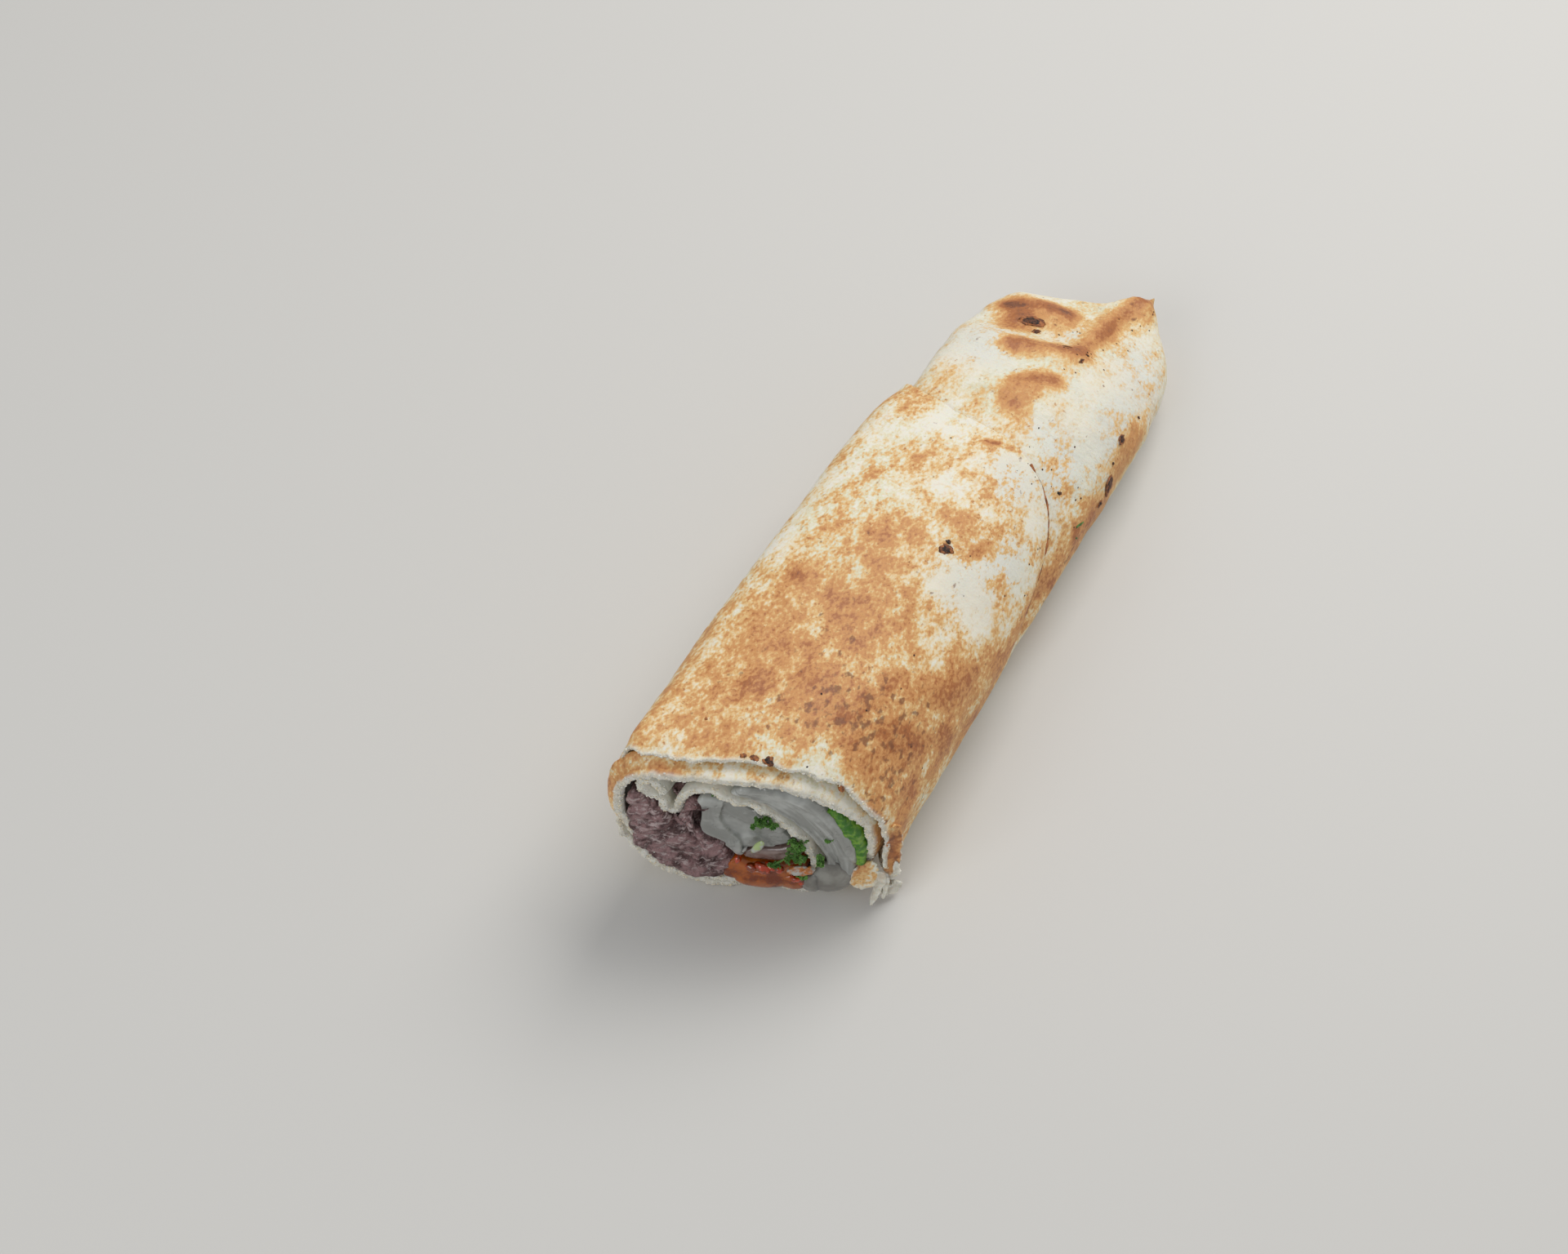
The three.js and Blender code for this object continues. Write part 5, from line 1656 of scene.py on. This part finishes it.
class SandwichBits(bpy.types.PropertyGroup):
    """Herbs, crumbs, specks and torn scraps."""

    parsley: tint("Parsley", "Fresh parsley", 52, 94, 18)
    parsley_light: tint("Parsley, light", "Lighter side of the parsley", 102, 148, 64)
    leaflet_smallest: amount("Smallest leaflet", "Smallest leaflet in mm", 0.7, min=0.1)
    leaflet_largest: amount("Largest leaflet", "Largest leaflet in mm", 1.5, min=0.1)
    crumb_density: amount("Crumb density", "Crumbs per square millimetre of torn edge", 3.4)
    speck_density: amount(
        "Speck density", "Black specks per square millimetre where they are thickest", 0.3,
    )
    burnt: tint("Burnt", "Black burnt spots and specks", 34, 24, 20)
    browned: tint("Browned", "Brown toasted dots", 104, 62, 40)
    young_onion: tint("Young onion", "Pale green piece of onion", 176, 196, 132)
    relish: tint("Relish", "Orange piece of relish", 190, 112, 40)
    seed: bpy.props.IntProperty(
        name="Seed", description="Changes how crumbs and leaves fall", default=4, min=0,
    )


class SandwichStage(bpy.types.PropertyGroup):
    """Floor and lights."""

    floor: tint("Floor", "Colour of the plain floor", 214, 212, 208)
    key_power: amount("Key light", "Power of the large light behind", 3.45, unit="POWER")
    fill_power: amount("Fill light", "Power of the light on the cut", 1.45, unit="POWER")
    sky: amount("Sky", "Strength of the even light all round", 0.38)


def give(piece, material):
    """Gives a piece its one material."""
    piece.data.materials.clear()
    piece.data.materials.append(material)
    return piece


def material_of(name, maker, *values):
    """The material of that name, made once."""
    return bpy.data.materials.get(name) or maker(name, *values)


# ---------------- operators
class SANDWICH_OT_bread(bpy.types.Operator):
    """Winds the sheet of flatbread round the fillings"""

    bl_idname = "sandwich.bread"
    bl_label = "Bread"

    def execute(self, context):
        material = material_of("toasted_bread", bread_material)
        inner_turns = np.linspace(SHEET_STARTS, SPLIT_TURN, 250)
        inner_rows = row_shares(INNER_END_REACH, INNER_ROW_STEP)
        inner = sheet_piece("bread_inner_end", inner_turns, inner_rows, inner_rows, INNER_END_REACH)
        wound = np.linspace(SPLIT_TURN, FREE_FROM, 200)
        free = np.linspace(FREE_FROM, RIM_END, 165)[1:]
        shown_rows = row_shares(ROLL_LENGTH, ROLL_ROW_STEP)
        hidden_rows = row_shares(ROLL_LENGTH, HIDDEN_ROW_STEP)
        outer = sheet_piece("bread_roll", np.concatenate([wound, free]), shown_rows, hidden_rows)
        core = tip_core("bread_tip")
        for piece in (inner, outer, core):
            give(piece, material)
            settle(piece, "flatbread")
        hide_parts("flatbread")
        return {"FINISHED"}


class SANDWICH_OT_fillings(bpy.types.Operator):
    """Lays the meat, onion, tomato and leaf into the roll"""

    bl_idname = "sandwich.fillings"
    bl_label = "Fillings"

    def execute(self, context):
        looks = context.scene.sandwich_fillings
        clear, cloudy = looks.onion[:], looks.onion_cloudy[:]
        stain, stain_cloudy = looks.sliver[:], looks.sliver_cloudy[:]
        meat = material_of("grilled_meat", meat_material)
        onion = material_of("cut_onion", onion_material, clear, cloudy, 0.2, 0.15)
        lined = material_of("onion_layers", onion_material, clear, cloudy, 0.26, 0.7)
        stained = material_of("stained_onion", onion_material, stain, stain_cloudy, 0.2, 0.3)
        tomato = material_of("cut_tomato", tomato_material)
        leaf = material_of("green_leaf", leaf_material, looks.leaf[:], looks.leaf_light[:])
        chunk_relief = layered_relief(((0.35, 5, 71), (0.09, 1.8, 72)), CHUNK_STEPS)
        strip_relief = layered_relief(((0.25, 4, 91), (0.07, 1.3, 92)), STRIP_STEPS)
        fillings = (
            (meat, "meat", "tikka_meat",
             ("meat_chunk", MEAT_OUTER, MEAT_INNER, 1.2, 1.1, 150, 60, 0.05, meat_relief)),
            (onion, "onion", "onion_chunk",
             ("onion_block", CHUNK_LOW, CHUNK_HIGH, 1.7, 0.8, 110, 56, 0.04, chunk_relief)),
            (stained, "red_onion", "onion_sliver",
             ("onion_slice", SLIVER_LOW, SLIVER_HIGH, 1.6, 1.2, 60, 22, 0.03, slick_relief(0.22, 3.0, 81))),
            (tomato, "tomato", "tomato_slab",
             ("tomato_slice", TOMATO_LOW, TOMATO_HIGH, 2.3, 1.3, 70, 26, 0.03, slick_relief(0.3, 3.4, 85))),
            (lined, "onion", "onion_strip",
             ("onion_band", STRIP_OUTER, STRIP_INNER, 1.9, 0.9, 150, 40, 0.02, strip_relief)),
            (leaf, "leaf", "leaf_strip",
             ("leaf_band", LEAF_OUTER, LEAF_INNER, 1.7, 0.5, 80, 12, 0.0, slick_relief(0.36, 1.6, 95))),
        )
        for material, slot, node, shape in fillings:
            settle(give(filling_mesh(*shape), material), slot, node)
        return {"FINISHED"}


class SANDWICH_OT_juices(bpy.types.Operator):
    """Adds the wet pulp, the onion's round end and the small pieces round them"""

    bl_idname = "sandwich.juices"
    bl_label = "Pulp and small pieces"

    def execute(self, context):
        fillings, bits = context.scene.sandwich_fillings, context.scene.sandwich_bits
        bright, dark = fillings.tomato_bright[:], fillings.tomato_dark[:]
        bulb, bulb_cloudy = fillings.bulb[:], fillings.bulb_cloudy[:]
        young, cloudy = bits.young_onion[:], fillings.onion_cloudy[:]
        wet = material_of("cut_tomato", tomato_material)
        pulpy = material_of("wet_pulp", plain_material, bright, dark, 1.0, 0.12, 0.15, 1.0)
        rounded = material_of("onion_end", onion_material, bulb, bulb_cloudy, 0.14, 0.12)
        fresh = material_of("young_onion", plain_material, young, cloudy, 1.6, 0.25, 0.5, 0.5)
        spiced = material_of("relish", plain_material, bits.relish[:], cloudy, 1.1, 0.3, 0.3, 0.4)
        tomato_end = [
            blob(at_cut(1.6, 5.9, 1.8), ((4.9, 2.2, 0.3), (0, 1.3, 0), (0.3, 0, 3.1)), 12, 0.07, 26, 40),
            blob(at_cut(6.3, 5.5, 1.9), ((2.6, 1.2, -0.5), (0, 1.3, 0), (0.5, 0, 2.4)), 11, 0.1, 20, 30),
        ]
        tomato_pulp = [
            blob(at_cut(x, z, forward), ((wide, 0, 0), (0, 0.8, 0), (0, 0, tall)), seed, 0.3)
            for x, z, forward, wide, tall, seed in PULP_LUMPS
        ]
        onion_end = [
            blob(at_cut(11.5, 7.2, 1.5), ((3.6, 1.8, 0.3), (0, 1.9, 0), (-0.4, 0, 4.3)), 31, 0.05, 40, 60),
            blob(at_cut(9.4, 6.2, 2.3), ((1.9, 0.9, 0), (0, 1.2, 0), (0.2, 0, 2.9)), 33, 0.05, 30, 40),
        ]
        leaning = ((0.75, 0.3, -0.2), (0, 0.6, 0), (0.75, 0.4, 1.8))
        young_onion = [blob(at_cut(0.6, 17.2, 2.9), leaning, 41, 0.12, 16, 22)]
        relish = [
            blob(at_cut(7.0, 11.0, 3.4), ((1.5, 0.8, 0.1), (0, 0.8, 0), (0, 0, 0.9)), 51, 0.35),
            blob(at_cut(8.5, 10.9, 3.3), ((1.1, 0.6, 0.3), (0, 0.7, 0), (0, 0, 1.1)), 52, 0.35),
        ]
        pieces = (
            ("tomato_end", tomato_end, wet, "tomato"), ("tomato_pulp", tomato_pulp, pulpy, "tomato"),
            ("onion_end", onion_end, rounded, "onion"), ("young_onion", young_onion, fresh, "onion"),
            ("relish", relish, spiced, "tomato"),
        )
        for name, lumps, material, slot in pieces:
            points, faces = joined(lumps)
            layers = onion_rings(points) if name == "onion_end" else None
            settle(give(make_piece(name, points, faces, layers), material), slot)
        return {"FINISHED"}


class SANDWICH_OT_herbs(bpy.types.Operator):
    """Grows parsley sprigs in the cut and lays flecks of herb on the bread"""

    bl_idname = "sandwich.herbs"
    bl_label = "Parsley"

    def execute(self, context):
        bits = context.scene.sandwich_bits
        green = material_of("parsley", leaf_material, bits.parsley[:], bits.parsley_light[:])
        chance = np.random.default_rng(bits.seed)
        spots = []
        for x, z, forward, wide, tall, deep, count in SPRIGS:
            offsets = np.clip(chance.normal(0, 0.55, (count, 3)), -1.1, 1.1)
            for across, up, out in offsets:
                spots.append(at_cut(x + wide * across, z + tall * up, forward - deep * out))
        carrier = bpy.data.meshes.new("sprig_points")
        carrier.from_pydata(in_row(spots).tolist(), [], [])
        form = leaflet("leaflet")
        settings = {
            "Leaflet": form, "Smallest": bits.leaflet_smallest, "Largest": bits.leaflet_largest,
            "Seed": bits.seed, "Material": green,
        }
        sprigs = grown("parsley_sprigs", carrier, group_of("Sprig", sprig_group), settings)
        bpy.data.objects.remove(form)
        settle(sprigs, "leaf")
        bread = bpy.data.objects["bread_roll"]
        stem_top, stem_foot = at_cut(4.9, 14.0, 2.8), at_cut(2.6, 11.2, 3.2)
        stem_axes = ((stem_top - stem_foot) / 2, (0, 0.22, 0), (-0.15, 0, 0.2))
        parts = [
            blob((stem_top + stem_foot) / 2, stem_axes, 61, 0.1),
            flake(bread, (16.9, 86.9, 16.0), 2.2, 0.5, 0.14, 70, 62),
            flake(bread, (17.2, 85.2, 14.4), 0.8, 0.4, 0.14, 40, 63),
        ]
        flecks = make_piece("herb_flecks", *joined(parts))
        settle(give(flecks, green), "leaf")
        return {"FINISHED"}


class SANDWICH_OT_scraps(bpy.types.Operator):
    """Lays the torn scraps of bread at the right of the cut"""

    bl_idname = "sandwich.scraps"
    bl_label = "Torn scraps"

    def execute(self, context):
        material = material_of("toasted_bread", bread_material)
        for name, thick, seed, ragged, toasting, corners in SCRAPS:
            points, faces, torn, toast = scrap(corners, thick, seed, ragged, *toasting)
            plain = np.zeros(len(points))
            marks = {
                "toast": toast, "freckle": 0.6 * toast, "inside": plain, "even": plain + 0.5,
                "torn": np.maximum(torn, 0.85 * (toasting[0] < 0.5)), "chalk": plain + 0.45,
            }
            settle(give(make_piece(name, points, faces, marks), material), "flatbread")
        return {"FINISHED"}


class SANDWICH_OT_specks(bpy.types.Operator):
    """Scatters crumbs on the torn edges and burnt specks on the bread"""

    bl_idname = "sandwich.specks"
    bl_label = "Crumbs and specks"

    def execute(self, context):
        looks, bits = context.scene.sandwich_bread, context.scene.sandwich_bits
        burnt, browned, deep = bits.burnt[:], bits.browned[:], looks.deep_toast[:]
        bread, inner = bpy.data.objects["bread_roll"], bpy.data.objects["bread_inner_end"]
        crumb = material_of("bread_crumb", plain_material, looks.crumb[:], looks.cream[:], 1.0, 0.8, 0.2)
        black = material_of("burnt_specks", plain_material, burnt, browned, 0.6, 0.75)
        brown = material_of("brown_dots", plain_material, browned, deep, 0.8, 0.7)
        # Colours of the rim cord: painted shade of the gap under the free rim.
        rim_shade = material_of("rim_crack", plain_material, deep, browned, 1.6, 0.7)
        tree = group_of("Crumbs", crumb_group)
        crumbs = {
            "Mask": "torn", "Density": bits.crumb_density, "Smallest": 0.09, "Largest": 0.24,
            "Flatness": 0.8, "Seed": bits.seed, "Material": crumb,
        }
        for source in (bread, inner):
            settle(grown(source.name + "_crumbs", source.data, tree, crumbs), "flatbread")
        specks = {
            "Mask": "pepper", "Density": bits.speck_density, "Smallest": 0.07, "Largest": 0.24,
            "Flatness": 0.4, "Seed": bits.seed + 1, "Material": black,
        }
        settle(grown("burnt_specks", bread.data, tree, specks), "flatbread")
        ringed = [
            (spot, RING_SHARE * length, RING_SHARE * width, turn)
            for spot, length, width, turn in BURNT if length > SMALLEST_RINGED
        ]
        flakes = (
            ("burnt_spots", BURNT, 0.16, black), ("brown_dots", DOTTED, 0.14, brown),
            ("scorched_rings", ringed, 0.07, brown),
        )
        for name, table, high, material in flakes:
            parts = [
                flake(bread, spot, length, width, high, turn, 101 + k)
                for k, (spot, length, width, turn) in enumerate(table)
            ]
            settle(give(make_piece(name, *joined(parts)), material), "flatbread")
        # The dark cord along the free rim is painted shade of the gap under its edge.
        shade_cord = rim_shade_cord(bread, np.linspace(SHADE_CORD_FROM, SHADE_CORD_TO, 220), 131)
        settle(give(make_piece("rim_crack", *joined([shade_cord])), rim_shade), "flatbread")
        return {"FINISHED"}


# The camera's place and aim in the roll's own frame, in mm, and its roll about its own axis.
CAMERA_AT = (142.03, -274.16, 519.87)
CAMERA_AZIMUTH, CAMERA_ELEVATION, CAMERA_ROLL = 27.0, 55.0, 2.76
CAMERA_LENS, CAMERA_SENSOR = 79.7, 36.0
# Places of the lights and what they look at, in metres in the model's frame, and their sizes.
KEY_LIGHT_AT, KEY_LIGHT_SIZE = (0.06, 0.42, 0.62), 0.5
FILL_LIGHT_AT, FILL_LIGHT_SIZE = (-0.15, -0.65, 0.5), 0.45
LIGHTS_LOOK_AT = (0, 0, 0.015)
FLOOR_REACH = 3.0


def photo_camera():
    """The camera at the photograph's place and angle."""
    turn, tilt, roll = (math.radians(v) for v in (CAMERA_AZIMUTH, CAMERA_ELEVATION, CAMERA_ROLL))
    level = Vector((-math.sin(turn), math.cos(turn), 0))
    aim = level * math.cos(tilt) - Vector((0, 0, math.sin(tilt)))
    right = Vector((math.cos(turn), math.sin(turn), 0))
    up = right.cross(aim)
    right_rolled = right * math.cos(roll) + up * math.sin(roll)
    up_rolled = up * math.cos(roll) - right * math.sin(roll)
    data = bpy.data.cameras.new("photo_camera")
    data.lens, data.sensor_width = CAMERA_LENS, CAMERA_SENSOR
    camera = new_object("photo_camera", data)
    turned = Matrix((right_rolled, up_rolled, -aim)).transposed().to_4x4()
    camera.matrix_world = Matrix.Translation(Vector(in_row(CAMERA_AT))) @ turned
    bpy.context.scene.camera = camera


def soft_light(name, stands_at, size, power, colour):
    """A large square light that looks at the middle of the roll."""
    data = bpy.data.lights.new(name, "AREA")
    data.energy, data.size, data.color = power, size, colour
    light = new_object(name, data)
    light.location = stands_at
    aim = Vector(LIGHTS_LOOK_AT) - Vector(stands_at)
    light.rotation_euler = aim.to_track_quat("-Z", "Y").to_euler()


def even_light(strength):
    """Weak bluish light from all round."""
    world = bpy.data.worlds.new("even_light")
    world.use_nodes = True
    background = world.node_tree.nodes["Background"]
    background.inputs["Color"].default_value = (0.96, 0.98, 1.0, 1)
    background.inputs["Strength"].default_value = strength
    bpy.context.scene.world = world


class SANDWICH_OT_stage(bpy.types.Operator):
    """Sets up the floor, the lights and the camera"""

    bl_idname = "sandwich.stage"
    bl_label = "Floor, lights and camera"

    def execute(self, context):
        settings = context.scene.sandwich_stage
        mesh = bpy.data.meshes.new("floor")
        corners = [(FLOOR_REACH * x, FLOOR_REACH * y, 0) for x, y in ((-1, -1), (1, -1), (1, 1), (-1, 1))]
        mesh.from_pydata(corners, [], [(0, 1, 2, 3)])
        floor = new_object("floor", mesh)
        material, graph, at, shader = start_material("floor")
        set_surface(graph, shader, {"Base Color": settings.floor[:], "Roughness": 0.7})
        mesh.materials.append(material)
        floor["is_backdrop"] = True
        soft_light("key_light", KEY_LIGHT_AT, KEY_LIGHT_SIZE, settings.key_power, (1.0, 0.985, 0.96))
        soft_light("fill_light", FILL_LIGHT_AT, FILL_LIGHT_SIZE, settings.fill_power, (0.97, 0.985, 1.0))
        even_light(settings.sky)
        context.scene.view_settings.view_transform = "Standard"
        photo_camera()
        return {"FINISHED"}


STEPS = (
    SANDWICH_OT_stage, SANDWICH_OT_bread, SANDWICH_OT_fillings, SANDWICH_OT_juices, SANDWICH_OT_herbs,
    SANDWICH_OT_scraps, SANDWICH_OT_specks,
)
SETTINGS = {
    "sandwich_bread": SandwichBread, "sandwich_fillings": SandwichFillings,
    "sandwich_bits": SandwichBits, "sandwich_stage": SandwichStage,
}


class SANDWICH_PT_panel(bpy.types.Panel):
    """Lists the steps that make the sandwich"""

    bl_idname = "SANDWICH_PT_panel"
    bl_label = "Tikka sandwich"
    bl_space_type = "VIEW_3D"
    bl_region_type = "UI"
    bl_category = "Sandwich"

    def draw(self, context):
        for name in SETTINGS:
            settings = getattr(context.scene, name)
            box = self.layout.box()
            for key in settings.__annotations__:
                box.prop(settings, key)
        for step in STEPS:
            self.layout.operator(step.bl_idname)


CLASSES = (*SETTINGS.values(), *STEPS, SANDWICH_PT_panel)


def register():
    for cls in CLASSES:
        bpy.utils.register_class(cls)
    for name, group in SETTINGS.items():
        setattr(bpy.types.Scene, name, bpy.props.PointerProperty(type=group))


def unregister():
    for name in reversed(SETTINGS):
        delattr(bpy.types.Scene, name)
    for cls in reversed(CLASSES):
        bpy.utils.unregister_class(cls)


def main():
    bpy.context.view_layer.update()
    register()
    for step in STEPS:
        group, name = step.bl_idname.split(".")
        getattr(getattr(bpy.ops, group), name)()


if __name__ == "__main__":
    main()
